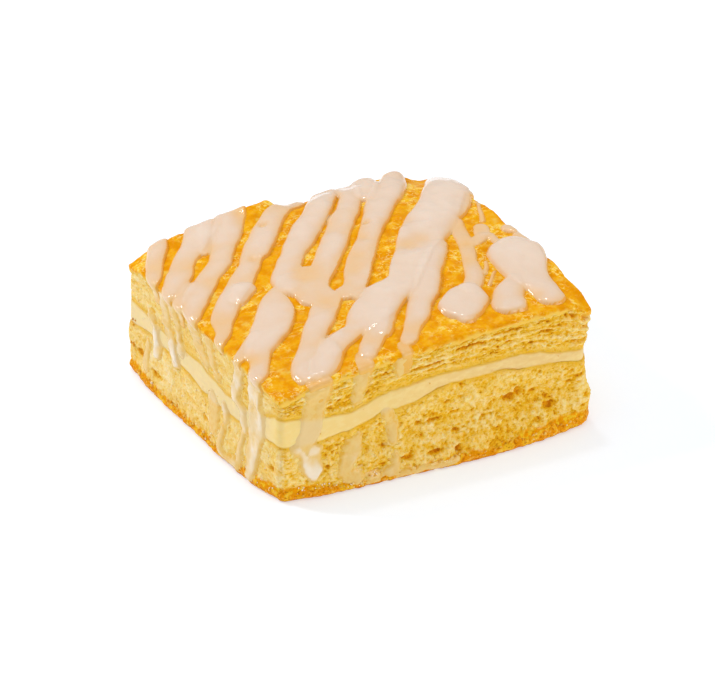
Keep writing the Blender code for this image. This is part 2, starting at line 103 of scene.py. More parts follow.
# Each stroke of icing is a path of (x, y, half width) on the unfolded top
STROKES = (
    # The narrow strokes, from the left corner to the broad one, each with what widens it
    (
        (-34.2, 45.8, 2.8), (-37.6, 39.5, 2.8), (-41.9, 32.9, 2.4), (-45, 27.7, 2.3), (-49, 25.6, 1.8),
    ),
    (
        (-22, 46, 3.8), (-28, 36, 3.8), (-34.7, 30, 3.2), (-39.6, 24, 3.6), (-44, 19.5, 3),
        (-50, 18, 2.2),
    ),
    ((-26, 35, 2.8), (-28.4, 31.2, 2.2)),
    (
        (-13, 45.7, 4), (-17, 38.6, 4.1), (-21.2, 32.6, 4), (-23.8, 28.8, 3.4), (-27.9, 23.5, 3.3),
        (-32.9, 19.5, 3.4), (-37.8, 15, 3.5), (-42.1, 10.1, 3.4), (-45.2, 5.8, 2.5), (-50, 3, 2.4),
    ),
    ((-18, 44, 3), (-24, 38, 3.6), (-29, 33.5, 2)),
    ((-39, 17.6, 2.6), (-44, 13.6, 2.6), (-49, 11.5, 1.8)),
    (
        (4, 40, 2), (-1.5, 38.2, 2.5), (-6.2, 35.2, 3.1), (-10, 31.2, 3.7), (-13.8, 26.8, 3.9),
        (-17.6, 22.6, 3.7), (-20.6, 19.8, 3), (-24.9, 14.8, 3.2), (-29.8, 9.5, 3.8), (-34.6, 5.3, 3.7),
        (-39.2, -0.1, 3.3), (-42.4, -5.8, 2.2), (-46.2, -10, 1.6),
    ),
    ((-29.4, 8, 3.6), (-32.6, 5.2, 3.2)),
    (
        (12.4, 41.8, 3.4), (9.2, 36.8, 3.7), (3.5, 30.1, 4), (-1.7, 25.2, 4.2), (-5.7, 20.7, 4.1),
        (-10.7, 15.7, 3.3), (-14.6, 11.1, 3.5), (-18.6, 6.1, 3.5), (-19, 2, 3),
    ),
    (
        (18, 40, 3.2), (16.7, 34.9, 3.1), (12.2, 27.9, 3.3), (8, 23.8, 3.5), (3.3, 18, 3.6),
        (-1.6, 11.9, 3.9), (-6.4, 6.4, 3.8), (-11.5, 1, 3.4), (-14.5, -5, 3.6), (-14.5, -9, 3.6),
    ),
    ((-13.6, 7.8, 1.5), (-10.6, 6, 1.7)),
    ((14.4, 40.4, 2.2), (13.2, 38, 1.8)),
    (
        (35, 45.2, 3), (32.4, 39.6, 3.4), (28, 33.6, 4.2), (22.5, 27.9, 4.3), (17, 21.4, 3.7),
        (12.2, 15.8, 3.3), (8.3, 10.7, 3.1), (2.9, 4.1, 3.5), (-1.5, -1.8, 3.6), (-5.5, -7.5, 3.4),
        (-9.5, -9, 2.6),
    ),
    ((24, 43.5, 3), (23, 38, 4.2), (20.5, 33, 3.6)),
    # The broad stroke across the middle, with its sides
    (
        (45, 40, 1.6), (43.7, 35.8, 3.9), (41.2, 29.3, 5), (37.9, 23.2, 6), (31.6, 15.5, 6.4),
        (24.2, 8.4, 6.9), (16.8, 0.3, 5.3), (11.6, -5.4, 5), (5.8, -12.5, 4.6), (-2.5, -16.5, 6),
        (-8.5, -21, 5.8), (-15.5, -25.4, 3.2), (-22.5, -28.8, 3.3), (-27.8, -33, 3.6), (-31, -36.2, 3.2),
    ),
    ((46, 39, 1.9), (46, 30, 2.1), (44.6, 21.8, 2.6)),
    ((41.6, 20.6, 3), (37.4, 14.4, 2.7), (32.8, 10.6, 2)),
    # The pool over the left side, and the strokes that end at the front
    (
        (-13.5, -9, 3), (-17, -12.5, 3.8), (-21.5, -18, 3.6), (-26.5, -23.5, 3.4), (-31, -29, 3.5),
        (-34.2, -33.6, 3.6), (-35.2, -36.6, 2.7),
    ),
    (
        (-20.5, 4.5, 0.9), (-24.2, 0.5, 2.8), (-26.9, -4.6, 4.7), (-31, -10.6, 5.4), (-35.2, -14.7, 4.6),
        (-39.5, -19, 3.6), (-41.8, -24.6, 2.6), (-45, -28.2, 3), (-50, -28.6, 3.4),
    ),
    ((-37, -13.5, 3), (-42, -17, 2.4), (-46, -19, 1.7), (-50, -19, 1.8)),
    ((-8, -25, 3), (-12, -30, 2.9), (-15.2, -33.5, 2.9), (-17.5, -36, 2.4)),
    ((-4.2, -20.8, 3), (-6.6, -25, 2.8), (-10.2, -29.8, 2.5)),
    (
        (22.5, -0.5, 3), (18, -6, 3.6), (13.2, -12, 3.8), (9.1, -18.1, 3.8), (5.3, -22.6, 3.3),
        (1.8, -27, 3.3), (-2, -31.5, 2.5), (-5.4, -35.6, 2.2), (-6.3, -36.8, 1.4),
    ),
    # On the right: the thin stem, the small balls and streaks, and the blobs
    (
        (33, 8.6, 2.4), (31.8, 4.8, 2.3), (30.3, -0.3, 2.2), (28.3, -6.4, 2.1), (25.7, -12, 2.2),
        (24.1, -16.8, 2.6), (21.3, -21.2, 2.6), (18.4, -24, 3),
    ),
    ((37.3, 2.6, 2.2), (35.8, -0.8, 2.3)),
    ((35.2, -1.4, 2.1), (31.8, -3.2, 2.1)),
    ((37.3, -2, 1.6), (37.3, -5.6, 1.4), (37.8, -8, 2)),
    ((29.6, -13.5, 0.5), (26.6, -18.2, 0.6)),
    ((29, -18.4, 0.5), (24.3, -24, 0.6)),
    ((16, -26.7, 5.6), (13.1, -29.6, 6)),
    ((18.2, -24.8, 3.7), (17.9, -29.2, 2.9), (11.8, -33.9, 2.9)),
    ((40, -9, 3.9), (37.8, -15, 7.3), (36, -22, 6), (35.8, -28, 4.6), (35.7, -35, 4)),
    ((35.7, -9.4, 2.7), (33.9, -12, 2.9)),
    ((44, -5, 1.6), (45, -12, 1.5)),
    ((31.6, -25.2, 2.9), (26.8, -29.6, 3.9), (24.2, -33.6, 4.5)),
    ((27, -33.6, 2.5), (25.6, -35.8, 2.6)),
    ((43.6, -0.4, 1.9), (44.6, -1.6, 2), (46.4, -3.4, 1.8)),
    ((44, 16.8, 0.4), (41.4, 10, 0.7), (39.4, 5.6, 0.9)),
    # Where strokes ran together
    ((-13.6, 5, 2.2), (-19, 4, 3.4), (-17, -2, 3.8), (-18.2, -6.6, 2.2), (-15.6, -8.6, 2.4)),
    ((-6.4, -11.4, 2.4), (-1.6, -14, 3)),
    ((-18, -24.8, 2), (-21, -26.2, 2.6)),
    ((-24, -27, 2.6), (-26.5, -32, 4), (-29.8, -36, 3.3), (-33.2, -37.4, 2.3)),
)
ICING_RISE, ICING_MOST = 0.45, 2.0  # how fast a stroke's height grows with its width, and where it levels off
STROKE_UNLIKE = 0.15  # the share by which one stroke is thicker than another
EDGE_STEEP = 2.6  # how steeply a stroke rises at its edge
SLIDE_X, SLIDE_Y = 0.2, -0.6  # how far all strokes lie from their listed places
SHADE_LEAN = 0.3  # how far in from its right and front edges the icing is coloured as if it were thinner: painted shade along those edges
CREASE = 0.12  # how softly two strokes run into each other
LAID_OVER = 0.35  # how much of the icing below still shows in the height of a stroke laid over it
# Where the icing ran thin and the crust shows through: (x, y, reach, share of the height lost)
THIN_PLACES = (
    (-12.5, 39, 2.6, 0.7), (-36, 26, 4, 0.35), (-34, 15, 4.5, 0.4), (-10.4, 32, 1.3, 0.75),
    (-14, 35, 2.6, 0.35), (-20.4, 18, 1.5, 0.5), (-11.5, 4, 4.2, 0.3), (-1.5, -1.8, 4, 0.5),
    (2, 5, 3.4, 0.45), (-7, -5.6, 2.6, 0.2), (2, 20.5, 3.5, 0.3), (12.4, 18.1, 1, 0.8), (16, 1.5, 3.6, 0.6),
    (20.5, 3, 3.2, 0.5), (32.3, 2.5, 6, 0.62), (30, -5, 4, 0.7), (25.5, -12, 4, 0.6), (37, 1, 3, 0.5),
    (-14.3, -11.8, 3.6, 0.66), (-3.2, -33.7, 4, 0.5), (-14.1, -32.7, 3, 0.35), (-42.8, -22, 3.6, 0.5),
    (31.6, -34, 3.2, 0.5), (-42, 31.3, 3.4, 0.5), (-40, -2.7, 4, 0.6), (-27, 10, 3, 0.3),
    (8, 12, 2.4, 0.35), (0, 30, 3, 0.25), (22, 12.5, 2.5, 0.3),
)

# Where the strokes have run together to a smooth sheet: (x, y, reach, height)
CALM_PLACES = ((-13, 1, 8, 0.85), (-8, -7, 6, 1.0), (-16, -6, 5, 0.9), (6, -6, 7, 1.5), (-3, 2, 4, 0.8))

# Thin films in which strokes run out over the rim: paths as above
FILMS = (
    ((-33.4, -38, 3.2), (-33.2, -42, 3.4), (-33.2, -47, 3.4)),
    ((-19, -36, 2), (-20.4, -40, 2.2), (-20.6, -46, 2.2)),
    ((-8, -37, 1.5), (-8.8, -41, 1.5), (-9.2, -46, 1.5)),
)
FILM_MOST, FILM_STEEP = 0.18, 0.6

# Icing that has run down the sides: for each drip its thickness and its path of (place along the side,
# height, half width)
DRIPS = {
    "front": (
        (0.3, ((-34, 36.5, 4.6), (-34, 31.6, 3.9), (-34.2, 27.4, 3.2), (-35.5, 23.5, 3.1), (-36.3, 19.5, 3.3),
               (-37.4, 16, 2.6))),
        (0.7, ((-40.2, 15.3, 1.5), (-38.8, 13.4, 1.4), (-37.4, 11, 2.2), (-36, 8.8, 2.9), (-35.6, 6.6, 1.8))),
        (0.6, ((-35.2, 13.4, 2.2), (-34.6, 11, 1.2), (-33.8, 8, 0.9))),
        (0.35, ((-20.5, 36, 2.3), (-21, 33.5, 2.3), (-21.9, 28.4, 1.8), (-23, 24.3, 1.3))),
        (0.3, ((-9, 36.5, 2.2), (-9.4, 34.4, 2.1), (-10.5, 30.2, 1.4), (-10.8, 28.2, 0.8))),
        (0.4, ((-22.6, 13.6, 1.2), (-24.2, 11, 2.5), (-26.3, 7.8, 2.1), (-26.5, 4.8, 2), (-23.6, 3.4, 1.7))),
        (0.3, ((-14.6, 18.3, 1.3), (-13, 14.5, 1.7), (-13.1, 10.6, 1.3))),
        (0.45, ((-12.9, 6.3, 0.9), (-13, 3.7, 1.4), (-15.5, 2, 1.9))),
        (0.3, ((-20, 1.5, 1.2), (-8, 1.3, 1.3), (4, 1.5, 1.1))),
    ),
    "left": (
        (0.35, ((30.3, 12.4, 1.1), (30.2, 6.4, 1.6))),
        (0.4, ((28, 21.5, 1.6), (25.8, 19, 1.4))),
        (0.95, ((25.4, 18.6, 1.2), (24.7, 14.5, 1.8), (24.6, 12.6, 1.7))),
        (0.5, ((22, 34, 2.4), (20.8, 29.4, 2.2), (19.4, 22.9, 1.9), (17, 18.8, 2), (15, 15, 1.9))),
        (0.9, ((16.6, 18.4, 1.8), (14.8, 14.9, 2))),
        (0.5, ((16.5, 34, 1.4), (15.2, 30, 1.3), (13.2, 24.3, 1.2), (11.7, 18.8, 1.4))),
        (0.35, ((6, 33, 2.4), (4.8, 29.1, 2.5), (1.1, 24.3, 1.9), (-2, 22, 1.6))),
        (0.25, ((-3, 31, 1.5), (-3.9, 27.5, 1.5), (-5.9, 23.3, 1.4), (-8.6, 20.8, 1.1))),
        (0.55, ((-18.5, 33.5, 2), (-19.5, 29.8, 2.1), (-19.4, 25.5, 2), (-17.9, 20.6, 1.9),
                (-21.4, 17.9, 1.5), (-22.9, 13.5, 1.6))),
        (0.52, ((-27.5, 36, 3.7), (-28.6, 32.7, 3.7), (-28.5, 28.4, 3.3), (-28.4, 24.1, 3.1),
                (-29.4, 19, 3.6), (-28.8, 13, 3), (-28.1, 8.5, 2.5), (-27.4, 3, 1.9))),
        (0.8, ((-11.9, 14.6, 1.1), (-13.3, 11.8, 1.4))),
        (0.25, ((-5.7, 13.2, 2.1), (-8, 7, 1.9))),
        (0.5, ((-12.9, 8.6, 1.2), (-12.6, 3.4, 1.3), (-16.7, 1.9, 1.3), (-21.4, 2.2, 1.3))),
        (0.45, ((-22, 12, 1), (-22.2, 7.1, 1.1), (-21.4, 2.5, 1.1))),
    ),
    "right": (
        (0.4, ((30, 35, 2.2), (29, 27, 1.8), (28.6, 20, 1.4))),
        (0.35, ((-2, 34, 1.6), (-2.4, 27, 1.2))),
        (0.35, ((-22, 32, 1.8), (-22.6, 26, 1.5))),
    ),
    "back": (
        (0.5, ((-34, 35, 2), (-33, 27, 1.6), (-32.6, 21, 1.4))),
        (0.5, ((-12, 36, 2.4), (-12.6, 28, 2), (-13, 22, 1.5))),
        (0.35, ((14, 36, 2.2), (14.6, 30, 1.7))),
        (0.6, ((34, 34, 2), (33.4, 26, 1.6), (33, 18, 1.3))),
    ),
}
DRIPS_WIDER = {"left": 1.25}  # how many times wider than listed a side's drips are

TABLE_SIDE = 64
LATTICE = np.random.default_rng(11).uniform(-1, 1, (TABLE_SIDE,) * 3)


def noise(x, y, z, size, shift=0):
    """Smooth random values from -1 to 1, which change over a size."""
    cells, shares = [], []
    for axis, turn in zip((x, y, z), (17.3, 5.9, 11.7)):
        at = axis / size + shift * turn
        cell = np.floor(at)
        share = at - cell
        cells.append(cell.astype(int))
        shares.append(share * share * (3 - 2 * share))
    total = 0
    for corner in np.ndindex(2, 2, 2):
        weight = 1
        for share, far in zip(shares, corner):
            weight = weight * (share if far else 1 - share)
        total = total + weight * LATTICE[tuple((c + far) % TABLE_SIDE for c, far in zip(cells, corner))]
    return total


def layered(x, y, z, *layers):
    """Noise in layers, each of (height, size, shift)."""
    return sum(height * noise(x, y, z, size, shift) for height, size, shift in layers)


def hill(distance, reach):
    return np.exp(-((distance / reach) ** 2))


def spot(x, y, at_x, at_y, reach):
    """1 at a place in plan, falling away to 0 past a reach round it."""
    return hill(np.hypot(x - at_x, y - at_y), reach)


def eased(t):
    t = np.clip(t, 0, 1)
    return t * t * (3 - 2 * t)


def nine_point(x, y, table):
    """A smooth height over the plan that passes through the nine heights of a table."""
    def weights(t):
        return t * (t - 1) / 2, 1 - t * t, t * (t + 1) / 2

    across, along = weights(2 * x / LENGTH), weights(2 * y / WIDTH)
    return sum(b * a * table[j][i] for j, b in enumerate(along) for i, a in enumerate(across))


def crust_height(x, y):
    """The top of the crust: domed, hanging at its corners and blistered along the back."""
    x, y = np.clip(x, -LENGTH / 2, LENGTH / 2), np.clip(y, -WIDTH / 2, WIDTH / 2)
    z = nine_point(x, y, CRUST_HEIGHTS)
    for side_x, side_y, drop, reach in CORNER_DROPS:
        z = z - drop * spot(x, y, side_x * LENGTH / 2, side_y * WIDTH / 2, reach)
    for *place, height in SWELLS:
        z = z + height * spot(x, y, *place)
    return z


# Round the sides

ARC_KNOTS = 17


def round_plan(half_x, half_y, corners):
    """Distances round a rectangle with round corners, from the middle of its front, with their points."""
    knots = [(0, -half_y, 0, -1)]
    for quarter, (way_x, way_y, corner) in enumerate(zip((1, 1, -1, -1), (-1, 1, 1, -1), corners)):
        middle_x, middle_y = way_x * (half_x - corner), way_y * (half_y - corner)
        for angle in np.radians(np.linspace(90 * quarter - 90, 90 * quarter, ARC_KNOTS)):
            out_x, out_y = math.cos(angle), math.sin(angle)
            knots.append((middle_x + corner * out_x, middle_y + corner * out_y, out_x, out_y))
    knots.append(knots[0])
    knots = np.array(knots)  # rows of a place and the way out from it
    steps = np.hypot(*np.diff(knots[:, :2], axis=0).T)
    return np.concatenate(([0], np.cumsum(steps))), knots


WALL_RUN, WALL_KNOTS = round_plan(LENGTH / 2, WIDTH / 2, WALL_CORNERS)
ROUND = WALL_RUN[-1]
# Where each side's straight run starts: the knot there, the axis it follows, and which way
SIDE_STARTS = {
    "front": (0, 0, 1), "right": (ARC_KNOTS, 1, 1),
    "back": (2 * ARC_KNOTS, 0, -1), "left": (3 * ARC_KNOTS, 1, -1),
}


def wall_plan(along):
    """Place in plan and way out at a distance round the sides from the middle of the front."""
    return [np.interp(along % ROUND, WALL_RUN, column) for column in WALL_KNOTS.T]


def round_from(side, place):
    """The distance round the sides of a place along one of them: its x or its y."""
    knot, axis, way = SIDE_STARTS[side]
    along = WALL_RUN[knot] + way * (place - WALL_KNOTS[knot][axis])
    return along - ROUND * (along > ROUND / 2)


def round_rows(table):
    """The rows of all sides in order, each starting with its distance round the sides, not its place."""
    return sorted((round_from(side, place), *rest) for side, rows in table.items() for place, *rest in rows)


EDGE_KNOTS = np.array(round_rows(CHEESE_EDGES))


def cheese_edges(along):
    """The heights of the cheese's lower and upper edge, which wander a little between their knots."""
    x, y = wall_plan(along)[:2]
    run, *edges = EDGE_KNOTS.T
    return [
        np.interp(along, run, edge, period=ROUND) + layered(x, y, 0, (0.25, 3.5, 21 + n), (0.15, 1.3, 23 + n))
        for n, edge in enumerate(edges)
    ]


def spread(x, y, out_y, z):
    """How far the lower dough spreads past the rim's line at a height above its base."""
    at = np.where(out_y < 0, FRONT_BULGE_AT, BACK_BULGE_AT)
    bulge = FRONT_BULGE * abs(out_y) * hill(x - at, BULGE_LENGTH)
    spreading = (1 - eased(z / FLARE_HEIGHT)) * (FLARE + bulge)
    for side_x, side_y, tuck, height in CORNER_TUCKS:
        near = spot(x, y, side_x * LENGTH / 2, side_y * WIDTH / 2, TUCK_REACH)
        spreading = spreading - tuck * near * (1 - eased(z / height))
    for lump_x, lump_y, lump_z, reach, out in LUMPS:
        away = np.sqrt((x - lump_x) ** 2 + (y - lump_y) ** 2 + (z - lump_z) ** 2)
        spreading = spreading + out * hill(away, reach)
    return spreading


def foot(z):
    """How far the lower edge is rounded in."""
    return FOOT_INSET * (1 - np.sqrt(np.clip(z / FOOT_ROUND, 0, 1)))


def lower_line(x, y, out_y, z):
    """How far the lower dough stands past the rim's line, without its lumps and its relief."""
    return spread(x, y, out_y, z) - LOWER_SET_IN - foot(z)


def lower_lumps(x, y, z):
    return LUMPY * noise(x, y, z, CRUMB_SIZE, 9) * eased(z / FOOT_ROUND)


def wall_line(along, z):
    """How far the sides stand past the rim's line, without their fine relief, on all three layers."""
    x, y, _, out_y = wall_plan(along)
    cheese_low, cheese_high = cheese_edges(along)
    upper = eased((z - cheese_high) / LAYER_BLEND + 0.5)
    lower = eased((cheese_low - z) / LAYER_BLEND + 0.5)
    upper_part = upper * (LUMPY * noise(x, y, 3 * z, 4, 1) - UPPER_SET_IN)
    lower_part = lower * (lower_line(x, y, out_y, z) + lower_lumps(x, y, z))
    return upper_part + lower_part - (1 - upper - lower) * (CHEESE_SET_IN - 0.8 * CHEESE_BELLY)


# Flat sheets and their moulding

def sheet(low, high, cells):
    """A flat grid between two corners."""
    bm = bmesh.new()
    bmesh.ops.create_grid(bm, x_segments=cells[0], y_segments=cells[1], size=0.5)
    size = Vector((high[0] - low[0], high[1] - low[1], 1))
    middle = Vector(((high[0] + low[0]) / 2, (high[1] + low[1]) / 2, 0))
    bmesh.ops.transform(bm, verts=bm.verts, matrix=Matrix.LocRotScale(middle, None, size))
    return bm


def mould(name, bm, form):
    """A mesh with the points of bm where form puts them, and the values that form gives for colouring."""
    mesh = bpy.data.meshes.new(name)
    bm.to_mesh(mesh)
    flat = np.empty(3 * len(mesh.vertices))
    mesh.vertices.foreach_get("co", flat)
    places, values = form(*flat.reshape(-1, 3).T)
    mesh.vertices.foreach_set("co", (np.stack(places, axis=-1) * MM).ravel())
    for key, value in values.items():
        mesh.attributes.new(key, "FLOAT", "POINT").data.foreach_set("value", np.ravel(value))
    bm.clear()
    bm.from_mesh(mesh)
    return mesh


def add_object(name, data):
    made = bpy.data.objects.new(name, data)
    bpy.context.scene.collection.objects.link(made)
    return made


def place_piece(name, mesh, bm, replaced=None):
    """Makes a moulded mesh a piece of the danish."""
    bmesh.ops.recalc_face_normals(bm, faces=bm.faces)
    for face in bm.faces:
        face.smooth = True
    bm.to_mesh(mesh)
    bm.free()
    piece = add_object(name, mesh)
    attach(piece, "root")
    if replaced:
        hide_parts(replaced)
    return piece


def points_in(made):
    return [item for item in made["geom"] if isinstance(item, bmesh.types.BMVert)]


def close_lids(bm, narrower, lower):
    """Closes each open end with a lid that is drawn in to a share of its size and set lower."""
    lid = points_in(bmesh.ops.extrude_edge_only(bm, edges=[edge for edge in bm.edges if edge.is_boundary]))
    bmesh.ops.scale(bm, verts=lid, vec=(narrower, narrower, 1))
    bmesh.ops.translate(bm, verts=lid, vec=(0, 0, -lower * MM))
    caps = bmesh.ops.holes_fill(bm, edges=[edge for edge in bm.edges if edge.is_boundary], sides=0)["faces"]
    bmesh.ops.triangulate(bm, faces=caps)


SAME_PLACE = 1e-7  # in metres: points nearer than this are joined at the sheet's seam


def ring_piece(name, cells, form, replaced, lid_lower=0):
    """A closed body from a sheet that is rolled round the sides, with its two ends closed."""
    bm = sheet((-ROUND / 2, 0), (ROUND / 2, 1), cells)
    mesh = mould(name, bm, form)
    bmesh.ops.remove_doubles(bm, verts=bm.verts, dist=SAME_PLACE)
    close_lids(bm, narrower=0.94, lower=lid_lower)
    return place_piece(name, mesh, bm, replaced)


def carve(along, height, holes):
    """How deep a side is carved by oval holes: (distance round, height, half length, half height, depth)."""
    depth = np.zeros_like(along)
    for at, level, long, high, deep in holes:
        near = np.flatnonzero((abs(along - at) < long) & (abs(height - level) < high))
        inside = 1 - ((along[near] - at) / long) ** 2 - ((height[near] - level) / high) ** 2
        depth[near] = np.maximum(depth[near], deep * np.sqrt(np.clip(inside, 0, 1)))
    return depth


def scatter_holes(seed, count, top, smallest, largest, slimness, steepness):
    """Random oval holes round all sides, many small and few large."""
    rng = np.random.default_rng(seed)
    size = np.minimum(smallest * rng.random(count) ** -steepness, largest)
    slim = rng.uniform(*slimness, count)
    return np.stack((
        rng.uniform(-ROUND / 2, ROUND / 2, count), rng.uniform(0, top, count), size * slim, size,
        size * rng.uniform(0.7, 1.3, count),
    ), axis=-1)


# The upper crumb

OVERLAP = 0.1  # how far the crumb reaches over the edges of the cheese
EDGE_TURN, EDGE_TUCK = 0.9, 0.12  # how near the cheese the crumb turns in to it, and how far
UNDER_CRUST = 0.5  # how far under the top of the crust the crumb ends
UPPER_TALL = 11.5  # about the height of the upper crumb, in which its layers are laid out
# Larger cavities in the upper crumb: (place along the side, height in its layers, half length, half height,
# depth)
UPPER_CAVITIES = {
    "front": (
        (31.5, 6.1, 3.4, 0.45, 0.8), (33.5, 5.2, 2.4, 0.35, 0.6), (10, 7.4, 5, 0.4, 0.8),
        (-4, 5.2, 6, 0.4, 0.7), (21, 8.8, 6, 0.35, 0.8),
    ),
    "right": ((6, 5.6, 5, 0.7, 1.2), (-25, 7.5, 6, 0.5, 0.9), (28, 4.6, 4, 0.6, 1)),
    "back": ((20, 6.4, 6, 0.7, 1.2), (-15, 5, 5, 0.6, 1), (-32, 8, 4, 0.5, 0.9)),
    "left": ((5, 6, 3, 0.5, 0.7),),
}
UPPER_SLITS = np.vstack((
    scatter_holes(3, 900, UPPER_TALL, 0.11, 0.28, (4, 11), 0.4), round_rows(UPPER_CAVITIES),
))
UPPER_PORES = scatter_holes(4, 5200, UPPER_TALL, 0.13, 0.4, (1, 2.5), 0.35)
SOAKED_UPPER, SOAKED_LOWER = 1.6, 1.4  # how far the dough next to the cheese is soaked
SMOOTH_EDGE = 2.4  # how far the upper dough is smoother next to the cheese
FRAYED_REACH = 7  # how far round the front's right corner the sheets of dough stand out


def relief_shade(fine, depth):
    """How deep a place lies in its surroundings, from 0 on the crests to 1 in the holes, for its colour:
    painted light on the crests and painted shade in the holes.
    """
    return np.clip(0.4 - fine + depth, 0, 1)


def upper_crumb(along, share, _):
    """The flaky crumb over the cheese: wavy sheets of dough with slits and pores between them."""
    x, y, out_x, out_y = wall_plan(along)
    low, high = cheese_edges(along)[1] - OVERLAP, crust_height(x, y) - UNDER_CRUST
    z = low + share * (high - low)
    level = share * UPPER_TALL + SHEET_WAVE * noise(x, y, z, SHEET_WAVE_LENGTH)
    ragged = level + layered(x, y, z, (0.3, 1.2, 3), (0.12, 0.6, 2))
    slit = carve(along + 0.7 * noise(x, y, z, 1.2, 4), ragged, UPPER_SLITS)
    pore = carve(along, ragged, UPPER_PORES)
    ridge = np.cos(math.tau * (ragged - 0.3 * noise(x, y, z, 2.5, 12)) / SHEET_PITCH)
    thin = np.cos(math.tau * (ragged + 0.4 * noise(x, y, z, 2, 15)) / (THIN_SHEETS * SHEET_PITCH))
    torn = noise(x, y, 3 * z, 4, 1)
    broken = eased(0.5 + noise(x, y, 2 * z, 3, 16))
    near_left = eased(-out_x)
    crisp = (1 - 0.6 * near_left) * (0.25 + 0.75 * eased((z - low) / SMOOTH_EDGE - 0.2 + 0.4 * torn))
    grain = 0.14 * noise(x, y, 1.5 * z, 0.95, 5) + 0.13 * noise(x, y, z, 0.5, 6)
    fine = crisp * (grain + 0.1 * ridge + 0.09 * thin * broken)
    depth = crisp * (0.6 * slit + 0.8 * pore)
    frayed = spot(x, y, LENGTH / 2, -WIDTH / 2, FRAYED_REACH) * eased((z - low) / 1.5)
    frayed = frayed * (0.4 + 0.8 * ridge * (0.6 + noise(x, y, z, 2, 20)))
    tuck = EDGE_TUCK * eased(1 - (z - low) / EDGE_TURN)
    step = -UPPER_SET_IN + LUMPY * torn * crisp + fine - depth - tuck + frayed
    # the first value below sets the painted shade in the crumb's holes and the painted light on its crests
    return (x + step * out_x, y + step * out_y, z), {
        "relief_shade": relief_shade(1.4 * fine + 0.2 * torn, 1.3 * depth),
        "brown": browned(x, y, z),
        "soaked": eased(1.2 - (z - low) / SOAKED_UPPER + 0.3 * torn),
        "glazed": 0.6 * near_left,
    }


BROWNED_DEEP, BROWNED_FADE = 1.3, 0.9


def browned(x, y, z):
    """How browned the dough is under the top of the crust, with a ragged lower edge."""
    ragged = 0.9 * noise(x, y, 0.6 * z, 2.4, 7) + 0.6 * noise(x, y, z, 0.8, 8)
    return eased((BROWNED_DEEP + ragged - (crust_height(x, y) - z)) / BROWNED_FADE)


# The cheese

CHEESE_HIDDEN, CHEESE_TUCK = 0.7, 0.6  # how far the cheese runs on behind the dough, and draws in there
EDGE_YELLOW = 1.6  # how far from its edges the cheese is yellower
PALE_REACH, LEFT_REACH = 65, 10  # over what distance from the front's left corner the cheese's colour changes


def cheese_layer(along, share, _):
    x, y, out_x, out_y = wall_plan(along)
    cheese_low, cheese_high = cheese_edges(along)
    low, high = cheese_low - CHEESE_HIDDEN, cheese_high + CHEESE_HIDDEN
    z = low + share * (high - low)
    away = np.minimum(z - cheese_low, cheese_high - z)  # from the nearer edge that shows
    belly = CHEESE_BELLY * eased(0.5 + away / 2.5)
    relief = 0.16 * noise(x, y, 2 * z, 5) + layered(x, y, z, (0.05, 1.2, 2), (0.03, 0.5, 3))
    step = belly - CHEESE_SET_IN + relief - CHEESE_TUCK * eased(-away / CHEESE_HIDDEN)
    return (x + step * out_x, y + step * out_y, z), {
        "edge": np.clip(1 - away / EDGE_YELLOW, 0, 1),
        "far": np.clip(np.hypot(x + LENGTH / 2, y + WIDTH / 2) / PALE_REACH, 0, 1),
        "side": eased(-out_x) * eased((y + WIDTH / 2) / LEFT_REACH),
    }


# The lower crumb and the browned skin at its foot

LOWER_TALL = 21
LOWER_SLITS = scatter_holes(5, 520, LOWER_TALL, 0.13, 0.34, (3, 8), 0.4)
BUBBLES = np.vstack((
    scatter_holes(6, 10000, LOWER_TALL, 0.12, 0.42, (1, 2.4), 0.3),
    scatter_holes(8, 320, LOWER_TALL, 0.26, 0.6, (1.2, 2.6), 0.35),
))
# Larger cavities in the lower crumb: (place along the side, height, half length, half height, depth)
LOWER_CAVITIES = {
    "front": (
        (21, 13.6, 2.2, 1.1, 1.1), (23.5, 14.6, 1.6, 1.2, 1.1), (19.2, 14.2, 1, 0.7, 0.8),
        (-5.6, 13.2, 1.1, 0.8, 0.9), (2.6, 16.8, 1, 0.5, 0.8), (7, 17.4, 1.1, 0.5, 0.8),
        (-1.5, 13, 2.2, 0.5, 0.9), (-10.9, 14.2, 1, 0.5, 0.8), (-12.4, 11.8, 1.2, 0.5, 0.9),
        (-1.8, 5, 2.5, 0.7, 1.1), (4.8, 4.4, 1.3, 1.1, 1.1), (-9, 5.6, 1.8, 0.9, 1),
        (-19.5, 3.4, 2.6, 1, 1.2), (-22.6, 6, 1, 0.6, 0.8), (-15.5, 9.7, 1.3, 0.5, 0.9),
        (32, 9, 2.4, 1, 1.1), (28, 6.5, 1.4, 0.8, 0.9),
    ),
    "left": ((34, 8, 3, 1.1, 0.9), (24, 6.5, 3.5, 0.9, 0.8), (-3, 7, 2, 0.9, 0.8), (-37, 9, 1.5, 0.8, 0.8)),
    "right": ((-20, 9, 3, 1.1, 1.2), (4, 13, 2, 1, 1), (15, 6, 3.4, 1, 1.1), (31, 11, 2.4, 1, 1.1)),
    "back": ((-28, 12, 2.6, 1.1, 1.2), (-8, 7, 3.4, 1.1, 1.2), (9, 13, 2, 1, 1), (29, 8, 3, 1.1, 1.2)),
}
HOLLOWS = round_rows(LOWER_CAVITIES)
# How tall the browned skin at the foot is: (place along the side, height)
SKIN_TALLS = {
    "front": (
        (-40, 4.8), (-30, 3.4), (-18, 2.4), (-4, 3.2), (4, 4.2), (14, 3.2), (26, 4.8), (37, 5.8),
    ),
    "right": ((-32, 5), (0, 4), (34, 4.6)),
    "back": ((34, 4.4), (0, 3.6), (-34, 4.4)),
    "left": ((36, 4.8), (20, 3.2), (0, 3.4), (-20, 3.8), (-37, 5.2)),
}
SKIN_KNOTS = np.array(round_rows(SKIN_TALLS))
CRUMB_BASE = 0.2  # how far over the table the lower crumb ends


def skin_tall(along):
    """The height of the browned skin at the foot, without its ragged edge."""
    return np.interp(along, *SKIN_KNOTS.T, period=ROUND)


